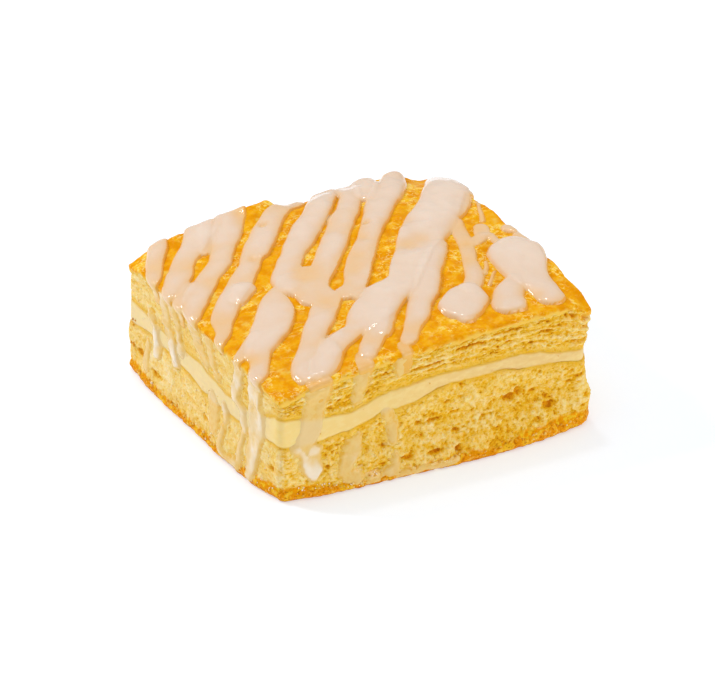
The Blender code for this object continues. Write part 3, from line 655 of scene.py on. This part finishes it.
def lower_crumb(along, share, _):
    """The open crumb under the cheese, with bubbles, slits and larger hollows."""
    x, y, out_x, out_y = wall_plan(along)
    high = cheese_edges(along)[0] + OVERLAP
    z = CRUMB_BASE + share * (high - CRUMB_BASE)
    ragged = z + 0.5 * noise(x, y, z, 6) + layered(x, y, z, (0.25, 1.2, 3), (0.12, 0.6, 2))
    slit = carve(along + 0.7 * noise(x, y, z, 1.2, 4), ragged, LOWER_SLITS)
    bubble = carve(along + 0.2 * noise(x, y, z, 0.6, 5), ragged, BUBBLES)
    wander = 0.6 * noise(x, y, z, 1.3, 17)
    hollow = carve(along + wander, z + 0.7 * wander + 0.25 * noise(x, y, z, 0.7, 18), HOLLOWS)
    soaked = eased(1.2 - (high - z) / SOAKED_LOWER + 0.4 * noise(x, y, z, 2, 19))
    near_left = eased(-out_x)
    crisp = (1 - 0.35 * near_left) * (1 - 0.8 * soaked)
    fine = crisp * (layered(x, y, z, (0.14, 0.95, 5), (0.15, 0.5, 6)) + 0.1 * noise(x, y, 3 * z, 4, 11))
    depth = crisp * (1 - 0.6 * near_left) * (0.7 * slit + 0.65 * bubble)
    tuck = EDGE_TUCK * eased(1 - (high - z) / EDGE_TURN)
    step = lower_line(x, y, out_y, z) + lower_lumps(x, y, z)
    step = step + fine - np.maximum(depth, crisp * 0.85 * hollow) - tuck
    foot_line = skin_tall(along) + layered(x, y, z, (0.6, 3, 7), (0.6, 0.8, 8))
    lump = noise(x, y, z, CRUMB_SIZE, 9)
    # the first value below sets the painted shade in the crumb's holes and the painted light on its crests
    return (x + step * out_x, y + step * out_y, z), {
        "relief_shade": relief_shade(1.5 * fine + 0.15 * lump, np.maximum(1.3 * depth, 0.6 * hollow)),
        "brown": eased((foot_line - z) / 1.2),
        "soaked": soaked,
        "glazed": 0.5 * near_left,
    }


SKIN_SHARE, SKIN_LEAST = 0.7, 0.4  # of the browned height that the skin itself covers, and its least height
SKIN_SUNK, SKIN_OUT = 0.15, 0.45  # how far the skin's upper edge sinks in, and how far the rest is out of it
CONTACT_SHADOW_HEIGHT = 0.8  # how far up from the table the skin is darkened by a painted contact shadow


def base_crust(along, share, _):
    x, y, out_x, out_y = wall_plan(along)
    tall = SKIN_SHARE * skin_tall(along) + layered(x, y, 0, (0.6, 3, 1), (0.6, 1.2, 2))
    z = share * np.maximum(tall, SKIN_LEAST)
    step = lower_line(x, y, out_y, z) + SKIN_OUT * eased((1 - share) * 2) - SKIN_SUNK
    step = step + 0.25 * noise(x, y, 1.5 * z, 1.8, 3) + 0.2 * noise(x, y, z, 0.8, 4)
    # low is 1 at the table and fades higher up: it carries the painted contact shadow on the skin's lower
    # edge
    return (x + step * out_x, y + step * out_y, z), {"low": 1 - eased(z / CONTACT_SHADOW_HEIGHT)}


# The crust

def fold(x, y, lift):
    """Where a point of the unfolded top lies when raised by lift, and how far past the bend's start it is."""
    rim_x, rim_y = np.clip(x, -CORE_X, CORE_X), np.clip(y, -CORE_Y, CORE_Y)
    past = np.hypot(x - rim_x, y - rim_y)
    safe = np.maximum(past, 1e-9)
    turn = np.minimum(past / BEND, math.pi / 2)
    down = np.maximum(0, past - BEND * math.pi / 2)
    outward = (BEND + lift) * np.sin(turn) - LIP * eased(down / LIP_RUN)
    z = crust_height(rim_x, rim_y) - BEND + (BEND + lift) * np.cos(turn) - down
    return (rim_x + (x - rim_x) / safe * outward, rim_y + (y - rim_y) / safe * outward, z), past


FLANGE = 2.2  # how far the crust's sheet runs on past the start of the bend
CRUST_CELLS = (250, 230)
CRUST_CLOSED = 2  # how much lower than its edge the crust's sheet is closed


def crust_form(x, y, _):
    """The crust's sheet, whose square corners are drawn in to an even distance from the bend."""
    over_x, over_y = x - np.clip(x, -CORE_X, CORE_X), y - np.clip(y, -CORE_Y, CORE_Y)
    over = np.maximum(np.hypot(over_x, over_y), 1e-9)
    reach = np.maximum(abs(over_x), abs(over_y)) / over
    x, y = x - over_x * (1 - reach), y - over_y * (1 - reach)
    (x, y, z), past = fold(x, y, layered(x, y, 0, (0.16, 3.2, 0), (0.09, 1.1, 2), (0.05, 0.55, 3)))
    z = z - np.maximum(0, past - BEND) * layered(x, y, 0, (0.4, 1.7, 4), (0.3, 0.7, 5))
    return (x, y, z), {"brown": browned(x, y, z)}


def make_crust():
    reach_x, reach_y = CORE_X + FLANGE, CORE_Y + FLANGE
    bm = sheet((-reach_x, -reach_y), (reach_x, reach_y), CRUST_CELLS)
    mesh = mould("crust", bm, crust_form)
    close_lids(bm, narrower=0.95, lower=CRUST_CLOSED)
    return place_piece("crust", mesh, bm, "top_dough")


# The icing

NOTHING = -9.0  # the icing's height far from any stroke
CURVE_STEP = 0.4
PAST_EDGE = 1.5  # how far past a stroke's widest edge its height is worked out


def smooth_path(points):
    """Even points along a smooth curve through a stroke's points."""
    knots = np.array(points, float)
    knots = np.vstack((2 * knots[0] - knots[1], knots, 2 * knots[-1] - knots[-2]))
    path = []
    for before, start, end, after in zip(knots, knots[1:], knots[2:], knots[3:]):
        count = max(2, int(np.hypot(*(end - start)[:2]) / CURVE_STEP))
        t = np.linspace(0, 1, count, endpoint=False)[:, None]
        path.append(0.5 * (
            2 * start + (end - before) * t + (2 * before - 5 * start + 4 * end - after) * t ** 2
            + (3 * start - before - 3 * end + after) * t ** 3
        ))
    return np.vstack((*path, knots[-2:-1]))


def stroke_rise(x, y, stroke, most, edge):
    """The height of one stroke over the places (x, y): a low crown inside, and falling away outside."""
    path = smooth_path(stroke)
    reach = path[:, 2].max() + PAST_EDGE
    near = np.flatnonzero(
        (x > path[:, 0].min() - reach) & (x < path[:, 0].max() + reach)
        & (y > path[:, 1].min() - reach) & (y < path[:, 1].max() + reach)
    )
    inside = np.full(near.shape, -np.inf)
    crown = np.zeros(near.shape)
    for at_x, at_y, half in path:
        distance = np.hypot(x[near] - at_x, y[near] - at_y)
        inside = np.maximum(inside, half - distance)
        crown = np.maximum(crown, half * half - distance * distance)
    round_top = most * np.tanh(ICING_RISE * np.sqrt(crown) / most)
    height = np.full(x.shape, NOTHING)
    height[near] = np.where(inside > 0, np.minimum(round_top, edge * inside), edge * inside)
    return height


def join(a, b, softness):
    """The higher of two heights, with a soft crease where they cross."""
    share = np.clip(0.5 + 0.5 * (a - b) / softness, 0, 1)
    return b * (1 - share) + a * share + softness * share * (1 - share)


def poured(x, y):
    """The height of the strokes and films, without the places where they ran thin."""
    height = np.full(x.shape, NOTHING)
    for film in FILMS:
        height = join(height, stroke_rise(x, y, film, FILM_MOST, FILM_STEEP), CREASE)
    for index, stroke in enumerate(STROKES):
        most = ICING_MOST * (1 + STROKE_UNLIKE * math.sin(index))
        one = stroke_rise(x, y, stroke, most, EDGE_STEEP)
        laid = one + LAID_OVER * np.clip(height, 0, None) * eased(one / 0.3)
        height = join(height, laid, CREASE)
    return height


CALMED = 0.85  # the share of its own shape that the icing loses in a calm place
CALM_EDGE = 0.5  # icing thinner than this isn't raised to a calm place's whole height


def icing_rise(x, y):
    """The height of the icing over the crust, below zero where there is none."""
    wander_x, wander_y = (layered(x, y, 0, (0.45, 4.5, 11 + n), (0.08, 1.8, 13 + n)) for n in (0, 1))
    height = poured(x - SLIDE_X + wander_x, y - SLIDE_Y + wander_y)
    for *place, level in CALM_PLACES:
        calmed = height + CALMED * spot(x, y, *place) * (level * eased(height / CALM_EDGE) - height)
        height = np.where(height > 0, calmed, height)
    left = 1 + layered(x, y, 0, (0.16, 7, 13), (0.08, 2.5, 13))
    for *place, lost in THIN_PLACES:
        left = left * (1 - lost * spot(x, y, *place))
    return np.where(height > 0, height * left, height)


ICING_LOW, ICING_HIGH = (-50, -47), (50, 47)  # the corners of the icing's sheet
ICING_PITCH = 0.39
THINS_OUT, THINS_OVER = 0.7, 4  # how much thinner the icing gets past the rim, and over what length
UNDER = -0.45  # how far the icing's underside is sunk into the crust
LEAST_THICK = 0.2  # from the icing's upper side to its underside
SHOWS = -0.5  # the icing's sheet is cut off where it would be lower than this


def thin_out(bm, rise):
    """Deletes the faces of a flat sheet whose corners all lie where there is nothing to lay."""
    flat = np.array([vertex.co[:2] for vertex in bm.verts])
    kept = rise(*flat.T) > SHOWS
    bm.verts.index_update()
    bare = [face for face in bm.faces if not any(kept[vertex.index] for vertex in face.verts)]
    bmesh.ops.delete(bm, geom=bare, context="FACES")


def thicken(bm):
    """Closes a flat sheet to a slab from 0 to 1, with its new top at 1."""
    top = bmesh.ops.extrude_face_region(bm, geom=bm.faces[:], use_keep_orig=True)
    bmesh.ops.translate(bm, verts=points_in(top), vec=(0, 0, 1))


def icing_form(x, y, top):
    """The icing on the unfolded top, bent over the rim: its upper side where top is 1, and its underside."""
    _, past = fold(x, y, 0)
    thinner = 1 - THINS_OUT * eased((past - BEND) / THINS_OVER)
    rise = np.maximum(icing_rise(x, y), SHOWS + UNDER)
    rise = np.where(rise > 0, rise * thinner, rise)
    places, _ = fold(x, y, np.where(top > 0.5, rise, np.minimum(UNDER, rise - LEAST_THICK)))
    # the thickness that colours the icing is taken thinner near its right and front edges, which paints shade
    # there
    thick_with_painted_shade = np.minimum(rise, icing_rise(x + SHADE_LEAN, y - SHADE_LEAN))
    return places, {"thick": np.clip(thick_with_painted_shade, 0, 3), "hangs": eased(past / (2 * BEND))}


DRIPS_LOW, DRIPS_HIGH = (-ROUND / 2, 0), (ROUND / 2, 36.5)  # the corners of the drips' sheet
DRIP_PITCH, DRIP_CREASE = 0.42, 0.15
DRIP_OUT, DRIP_UNDER = 0.1, -0.9  # how far a drip's top is moved out, and how deep its underside lies
UNDER_RIM = 0.8  # how far under the top of the crust a drip starts
OFF_TABLE = 0.05  # how far over the table the drips end
ON_CHEESE_BLEND = 1.6  # over what height a drip takes on the cheese's colour


def drip_rise(along, z):
    """The height of the drips over the sides, below zero where there are none."""
    height = np.full(along.shape, NOTHING)
    wander = layered(along, z, 0, (0.5, 2.4, 14), (0.3, 0.9, 15))
    for side, drips in DRIPS.items():
        wider = DRIPS_WIDER.get(side, 1)
        for most, drip in drips:
            path = [(round_from(side, place), level, wider * half) for place, level, half in drip]
            one = stroke_rise(along + wander, z + wander, path, most, 0.3 + 0.5 * most)
            height = join(height, one, DRIP_CREASE)
    left = 1 + layered(along, z, 0, (0.35, 3, 16), (0.2, 1.2, 17))
    return np.where(height > 0, height * left, height)


def drip_form(along, z, top):
    """The drips on the unrolled sides: their outer side where top is 1, and their underside."""
    x, y, out_x, out_y = wall_plan(along)
    z = np.minimum(z, crust_height(x, y) - UNDER_RIM)
    rise = np.maximum(drip_rise(along, z), SHOWS + UNDER)
    low, high = cheese_edges(along)
    on_cheese = eased((z - low) / ON_CHEESE_BLEND + 0.5) * eased((high - z) / ON_CHEESE_BLEND + 0.5)
    z = np.maximum(z, OFF_TABLE)
    lift = np.where(top > 0.5, rise + DRIP_OUT, np.minimum(DRIP_UNDER, rise - LEAST_THICK))
    step = wall_line(along, z) + lift
    return (x + step * out_x, y + step * out_y, z), {"thick": np.clip(rise, 0, 3), "on_cheese": on_cheese}


def icing_piece(name, low, high, pitch, rise, form, replaced=None):
    """A piece of icing, from a flat sheet that is kept only where its rise shows."""
    bm = sheet(low, high, [round((end - start) / pitch) for start, end in zip(low, high)])
    thin_out(bm, rise)
    thicken(bm)
    mesh = mould(name, bm, form)
    return place_piece(name, mesh, bm, replaced)


# Loose crumbs on the sides

# Side, from and to along it, lowest and highest, how many, smallest and largest radius, tone from and to
CRUMBS = (
    ("front", -42, 44, 0.4, 3.2, 130, 0.15, 0.4, 0.2, 0.7),
    ("left", -38, 38, 0.4, 3.5, 120, 0.15, 0.45, 0.2, 0.75),
    ("right", -40, 40, 0.4, 3.2, 70, 0.15, 0.4, 0.2, 0.7),
    ("back", -40, 40, 0.4, 3.2, 70, 0.15, 0.4, 0.2, 0.7),
    ("front", -41, -18, 0.8, 4.5, 26, 0.12, 0.3, 0.75, 0.85),
    ("left", -37, -20, 0.8, 5, 12, 0.12, 0.25, 0.75, 0.85),
    ("left", -40, 36, 3, 32, 60, 0.12, 0.3, 0.5, 0.8),
    ("front", -42, 42, 4, 33, 60, 0.1, 0.25, 0.3, 0.7),
    ("left", 37, 40, 8, 10, 3, 0.3, 0.5, 0.14, 0.3),
    ("left", 37, 40, 14, 16, 3, 0.3, 0.5, 0.14, 0.3),
)
BELOW_CRUST = 1.5  # how far under the top of the crust a crumb stays at least
CRUMB_OUT, CRUMB_LIFT = 0.1, 0.02  # how far out of the side a crumb's middle is, and how low a crumb reaches


def make_crumbs():
    """Small lumps that stick to the sides, as one mesh."""
    rng = np.random.default_rng(12)
    bm = bmesh.new()
    tones = []
    for side, start, end, low, high, count, smallest, largest, dark, pale in CRUMBS:
        for _ in range(count):
            along, z = round_from(side, rng.uniform(start, end)), rng.uniform(low, high)
            radius = rng.uniform(smallest, largest)
            x, y, out_x, out_y = wall_plan(along)
            z = min(z, crust_height(x, y) - BELOW_CRUST)
            step = wall_line(along, z) + CRUMB_OUT
            squash = Vector(rng.uniform(0.6, 1.3, 3))
            spin = Matrix.Rotation(rng.uniform(0, math.tau), 3, rng.normal(size=3)).to_quaternion()
            place = Vector((x + step * out_x, y + step * out_y, z))
            lump = bmesh.ops.create_icosphere(
                bm, subdivisions=1, radius=radius, matrix=Matrix.LocRotScale(place, spin, squash))
            tones += [rng.uniform(dark, pale)] * len(lump["verts"])
    mesh = mould("crumbs", bm, lambda x, y, z: ((x, y, np.maximum(z, CRUMB_LIFT)), {"tone": np.array(tones)}))
    return place_piece("crumbs", mesh, bm)


# Materials

def srgb(red, green, blue):
    """A colour as a screen shows it, from 0 to 255, as light."""
    def light(level):
        level /= 255
        return level / 12.92 if level < 0.04045 else ((level + 0.055) / 1.055) ** 2.4
    return light(red), light(green), light(blue), 1


class Shade:
    """An output of a material's nodes. Python's operators on it add Math nodes."""

    def __init__(self, paint, socket):
        self.paint, self.socket = paint, socket

    def maths(self, operation, first, second):
        return self.paint.node("Math", {"operation": operation}, {0: first, 1: second})

    def __add__(self, other):
        return self.maths("ADD", self, other)

    def __sub__(self, other):
        return self.maths("SUBTRACT", self, other)

    def __rsub__(self, other):
        return self.maths("SUBTRACT", other, self)

    def __mul__(self, other):
        return self.maths("MULTIPLY", self, other)

    __radd__, __rmul__ = __add__, __mul__

    def between(self, low, high):
        """0 below low, 1 above high, and smooth in between."""
        ends = {"Value": self, "From Min": low, "From Max": high}
        return self.paint.node("MapRange", {"interpolation_type": "SMOOTHSTEP"}, ends)


def soft(weight, red, green, blue):
    """Constants for light that goes into a piece, by how many millimetres for each colour."""
    return {
        "Subsurface Weight": weight, "Subsurface Radius": (red * MM, green * MM, blue * MM),
        "Subsurface Scale": 1,
    }


class Paint:
    """A material on one Principled shader, with constants on its sockets."""

    def __init__(self, name, roughness, specular, constants):
        self.material = bpy.data.materials.new(name)
        self.material.use_nodes = True
        self.tree = self.material.node_tree
        self.shader = self.tree.nodes["Principled BSDF"]
        for socket, value in {"Roughness": roughness, "Specular IOR Level": specular, **constants}.items():
            self.shader.inputs[socket].default_value = value

    def node(self, kind, settings, sockets, output=0):
        made = self.tree.nodes.new("ShaderNode" + kind)
        for key, value in settings.items():
            setattr(made, key, value)
        for key, value in sockets.items():
            if isinstance(value, Shade):
                self.tree.links.new(value.socket, made.inputs[key])
            else:
                made.inputs[key].default_value = value
        return Shade(self, made.outputs[output])

    def ramp(self, share, *stops):
        """A colour for each value of share, from stops of (value, colour)."""
        colour = self.node("ValToRGB", {}, {"Fac": share})
        elements = colour.socket.node.color_ramp.elements
        while len(elements) < len(stops):
            elements.new(1)
        for element, (place, levels) in zip(elements, stops):
            element.position, element.color = place, srgb(*levels)
        return colour

    def attribute(self, name):
        return self.node("Attribute", {"attribute_name": name}, {}, "Fac")

    def places(self, stretch=(1, 1, 1)):
        """Places in millimetres, stretched along an axis where its number is under 1."""
        here = self.node("TexCoord", {}, {}, "Object")
        return self.node("VectorMath", {"operation": "MULTIPLY"}, {0: here, 1: [s / MM for s in stretch]})

    def grain(self, size, detail=2, stretch=(1, 1, 1)):
        sockets = {"Vector": self.places(stretch), "Scale": 1 / size, "Detail": detail}
        return self.node("TexNoise", {}, sockets)

    def cracks(self, size):
        """How far a place is from the lines of an irregular net, as a share of its meshes."""
        here, bend = self.places(), 1.5 * size
        wander = self.node("TexNoise", {}, {"Vector": here, "Scale": 1 / size, "Detail": 2}, "Color")
        bent = self.node("VectorMath", {"operation": "MULTIPLY_ADD"}, {0: wander, 1: [bend] * 3, 2: here})
        return self.node("TexVoronoi", {"feature": "DISTANCE_TO_EDGE"}, {"Vector": bent, "Scale": 1 / size})

    def mix(self, start, end, share):
        """A colour between two, each of them a Shade or its levels as a screen shows them."""
        start, end = (colour if isinstance(colour, Shade) else srgb(*colour) for colour in (start, end))
        return self.node("Mix", {"data_type": "RGBA"}, {0: share, 6: start, 7: end}, 2)

    def coats(self, colour, *coats):
        """A colour with others laid over it in turn, each of (colour, share that it covers)."""
        for coat, share in coats:
            colour = self.mix(colour, coat, share)
        return colour

    def wear(self, colour, roughness=None, height=None, deep=0.1):
        """Feeds the shader what changes over the surface; deep is the bump's depth in millimetres."""
        links = {"Base Color": colour, "Roughness": roughness}
        if height is not None:
            links["Normal"] = self.node("Bump", {}, {"Height": height, "Distance": deep * MM, "Strength": 1})
        for socket, shade in links.items():
            if shade is not None:
                self.tree.links.new(shade.socket, self.shader.inputs[socket])
        return self.material


def dough_finish():
    """Pale open crumb, browned where it meets a crust: painted shade makes it deeper and more saturated in
    its holes, and painted light makes it paler on its crests.
    """
    paint = Paint("dough", 0.75, 0.05, soft(0.25, 1.3, 0.8, 0.15))
    fine, patches = paint.grain(0.4, 3), paint.grain(6, 2, (1, 1, 2))
    glazed, hole_shade = paint.attribute("glazed"), paint.attribute("relief_shade")
    # the pits deepen the colour with painted shade, as well as denting the bump
    pits = paint.grain(0.9, 3, (1, 1, 1.7)).between(0.56, 0.66) * (1 - glazed * 0.5)
    # deep sets the colour: painted shade from the holes, the pits and the bump's hollows, with random patches
    # of tone
    deep = hole_shade + pits * 0.2 + (fine - 0.5) * -0.7 + (patches - 0.5) * 0.38
    bare = paint.ramp(
        deep,
        (0.0, (252, 223, 156)), (0.3, (248, 207, 112)), (0.5, (244, 194, 72)), (0.66, (238, 179, 30)),
        (0.85, (228, 156, 12)), (1.0, (206, 124, 10)),
    )
    under_glaze = paint.ramp(
        deep,
        (0.1, (249, 229, 182)), (0.5, (242, 207, 130)), (0.78, (236, 184, 68)), (1.0, (216, 140, 14)),
    )
    skin = paint.mix((240, 156, 0), (248, 196, 40), paint.grain(1.1).between(0.5, 0.62))
    # painted shade in the holes of the browned skin
    skin = paint.mix(skin, (200, 110, 0), hole_shade.between(0.55, 1) * 0.7)
    colour = paint.coats(
        bare,
        (under_glaze, glazed),
        ((236, 176, 34), paint.attribute("soaked") * 0.65),
        (skin, paint.attribute("brown")),
    )
    return paint.wear(colour, height=fine - pits, deep=0.12)


def crust_finish():
    """Glazed crust: deep orange, with clusters of pale flecks and thin pale lines, and paler at its edge."""
    paint = Paint("crust", 0.4, 0.02, soft(0.15, 1.0, 0.5, 0.1))
    flecks, fine = paint.grain(2.6, 3), paint.grain(0.8, 3)
    cluster = paint.grain(7).between(0.47, 0.6)
    crackle = 1 - paint.cracks(3.2).between(0.0, 0.06)
    colour = paint.coats(
        paint.mix((233, 150, 0), (242, 168, 4), flecks.between(0.35, 0.6)),
        ((248, 192, 34), (flecks + fine * 0.25).between(0.58, 0.76) * (cluster * 0.7 + 0.2)),
        ((252, 218, 116), (flecks * 0.5 + fine).between(0.77, 0.9) * (cluster * 0.8 + 0.08)),
        ((252, 222, 140), crackle * (cluster * 0.5 + 0.06)),
        ((226, 130, 0), fine.between(0.42, 0.3) * 0.15),
    )
    colour = paint.mix((242, 196, 84), colour, paint.attribute("brown"))
    return paint.wear(colour, height=fine + flecks, deep=0.06)


def icing_finish():
    """Glossy icing: pale and a little pink where it is thick, peach and then orange where it is thin, and
    along its right and front edges, where that thinner colour is painted shade.
    """
    paint = Paint("icing", 0.1, 0.5, soft(0.15, 0.8, 0.5, 0.35))
    # thick is made thinner near the right and front edges, which paints shade there
    thick = paint.attribute("thick")
    colour = paint.ramp(
        thick * 0.5 + (paint.grain(7) - 0.5) * 0.4,
        (0.0, (239, 170, 66)), (0.05, (240, 185, 106)), (0.15, (240, 195, 138)),
        (0.42, (237, 200, 160)), (0.66, (236, 208, 183)), (1.0, (239, 216, 196)),
    )
    film = paint.mix((236, 176, 62), (238, 199, 124), thick.between(0.05, 0.45))
    colour = paint.mix(colour, film, paint.attribute("hangs") * thick.between(1.2, 0.5))
    return paint.wear(colour, 0.06 + 0.14 * paint.grain(6), paint.grain(1.4, 1), deep=0.05)


def drip_finish():
    """Thin icing on the sides: like the crumb where it is thinnest, whiter where it is thick."""
    paint = Paint("drips", 0.12, 0.35, soft(0.08, 0.8, 0.5, 0.35))
    thick, below = paint.attribute("thick"), paint.grain(1.1, 3)
    colour = paint.coats(
        paint.mix((234, 180, 64), (238, 198, 108), below.between(0.35, 0.62)),
        ((234, 196, 118), thick.between(0.08, 0.36) * 0.7),
        ((232, 200, 140), paint.attribute("on_cheese") * 0.85),
        ((244, 226, 198), thick.between(0.35, 0.8)),
    )
    return paint.wear(colour, height=below)


def cheese_finish():
    """Smooth cheese: paler near the front's left corner and on the left side, yellower near the dough."""
    paint = Paint("cheese", 0.5, 0.1, soft(0.3, 1.6, 1.1, 0.5))
    colour = paint.coats(
        paint.mix((247, 214, 134), (237, 199, 128), paint.attribute("far")),
        ((240, 212, 154), paint.attribute("side")),
        ((247, 220, 152), paint.grain(2.5, 3, (1, 1, 2)).between(0.4, 0.68) * 0.5),
        ((236, 180, 40), paint.attribute("edge").between(0.65, 1) * 0.75),
    )
    return paint.wear(colour, height=paint.grain(0.8, 3), deep=0.04)


def base_finish():
    """The browned skin at the foot: orange, with paler patches, darker specks and a painted contact shadow
    along its lower edge.
    """
    paint = Paint("base_crust", 0.5, 0.04, {})
    fine = paint.grain(0.7, 3)
    colour = paint.coats(
        paint.mix((236, 150, 0), (247, 190, 36), paint.grain(2.6, 3).between(0.5, 0.64)),
        ((250, 208, 104), fine.between(0.55, 0.66) * 0.45),
        ((176, 88, 0), fine.between(0.46, 0.36) * 0.6),
        # painted contact shadow, darkest where the skin meets the table
        ((150, 78, 10), paint.attribute("low") * 0.75),
    )
    return paint.wear(colour, height=fine, deep=0.3)


def crumb_finish():
    """Loose crumbs: burnt, orange or pale."""
    paint = Paint("crumbs", 0.5, 0.1, {})
    return paint.wear(paint.ramp(
        paint.attribute("tone"),
        (0.0, (110, 60, 20)), (0.12, (170, 92, 20)), (0.2, (226, 150, 20)), (0.6, (246, 204, 100)),
        (0.8, (252, 238, 214)),
    ))


def dress(piece, material):
    piece.data.materials.clear()
    piece.data.materials.append(material)


# Floor, light and camera, all in metres

FLOOR_HALF, FLOOR_COLOUR = 1.5, (0.64, 0.69, 0.76, 1)
FLOOR_GLOW, FLOOR_GLOW_STRENGTH = (0.97, 0.98, 1, 1), 0.45
SKY, SKY_STRENGTH = (1, 1, 1, 1), 0.5
LAMPS = (
    # name, place, size, power; all point at the danish
    ("key", (-0.52, 0.5, 0.7), 0.12, 3),
    ("strip", (-0.8, 0.7, 0.3), 0.08, 0.6),
    ("glint", (0.08, 0.31, 0.95), 0.08, 0.9),
    ("top", (-0.1, 0.1, 1.2), 1, 2.7),
    ("fill", (0.6, -0.9, 0.35), 0.6, 3.4),
)


def make_stage():
    """A pale floor that shows soft shadows, under an even white sky."""
    bm = sheet((-FLOOR_HALF, -FLOOR_HALF), (FLOOR_HALF, FLOOR_HALF), (1, 1))
    mesh = bpy.data.meshes.new("floor")
    bm.to_mesh(mesh)
    bm.free()
    floor = add_object("floor", mesh)
    paint = Paint("floor", 1, 0, {
        "Base Color": FLOOR_COLOUR, "Emission Color": FLOOR_GLOW, "Emission Strength": FLOOR_GLOW_STRENGTH,
    })
    dress(floor, paint.material)

    world = bpy.data.worlds.new("studio")
    world.use_nodes = True
    background = world.node_tree.nodes["Background"]
    background.inputs["Color"].default_value = SKY
    background.inputs["Strength"].default_value = SKY_STRENGTH
    bpy.context.scene.world = world


def make_light(name, place, size, power):
    lamp = bpy.data.lights.new(name, "AREA")
    lamp.energy, lamp.size = power, size
    light = add_object(name, lamp)
    light.location = place
    light.rotation_euler = (-Vector(place)).to_track_quat("-Z", "Y").to_euler()


# Where the camera stands, as angles round and above the danish, and how far down it looks: a little flatter,
# which puts the danish under the middle of the picture
TURN, ABOVE, LOOK_DOWN = (math.radians(angle) for angle in (28.994, 28.847, 28.323))
CAMERA_DISTANCE, CAMERA_SEES = 1.4, 10
LENS = 273.1


def ahead_at(down):
    """The way from the camera's side towards the danish, at an angle down from level."""
    return Vector((math.sin(TURN) * math.cos(down), math.cos(TURN) * math.cos(down), -math.sin(down)))


def make_camera():
    data = bpy.data.cameras.new("camera")
    data.lens = LENS
    data.clip_end = CAMERA_SEES
    camera = add_object("camera", data)
    camera.location = -CAMERA_DISTANCE * ahead_at(ABOVE)
    camera.rotation_euler = ahead_at(LOOK_DOWN).to_track_quat("-Z", "Y").to_euler()
    bpy.context.scene.camera = camera


UPPER_CELLS, LOWER_CELLS, CHEESE_CELLS, SKIN_CELLS = (1300, 56), (1230, 78), (560, 14), (860, 10)
UPPER_CLOSED = 5  # how much lower than its edges the upper crumb is closed


def main():
    dough = dough_finish()
    dress(ring_piece("upper_crumb", UPPER_CELLS, upper_crumb, "top_dough", UPPER_CLOSED), dough)
    dress(ring_piece("cheese_layer", CHEESE_CELLS, cheese_layer, "cheese_filling"), cheese_finish())
    dress(ring_piece("lower_crumb", LOWER_CELLS, lower_crumb, "bottom_dough"), dough)
    dress(ring_piece("base_crust", SKIN_CELLS, base_crust, "bottom_dough"), base_finish())
    dress(make_crust(), crust_finish())
    icing = icing_piece("icing", ICING_LOW, ICING_HIGH, ICING_PITCH, icing_rise, icing_form, "top_dough")
    dress(icing, icing_finish())
    drips = icing_piece("drips", DRIPS_LOW, DRIPS_HIGH, DRIP_PITCH, drip_rise, drip_form)
    dress(drips, drip_finish())
    dress(make_crumbs(), crumb_finish())
    make_stage()
    for lamp in LAMPS:
        make_light(*lamp)
    make_camera()
    bpy.context.scene.view_settings.view_transform = "Standard"


main()
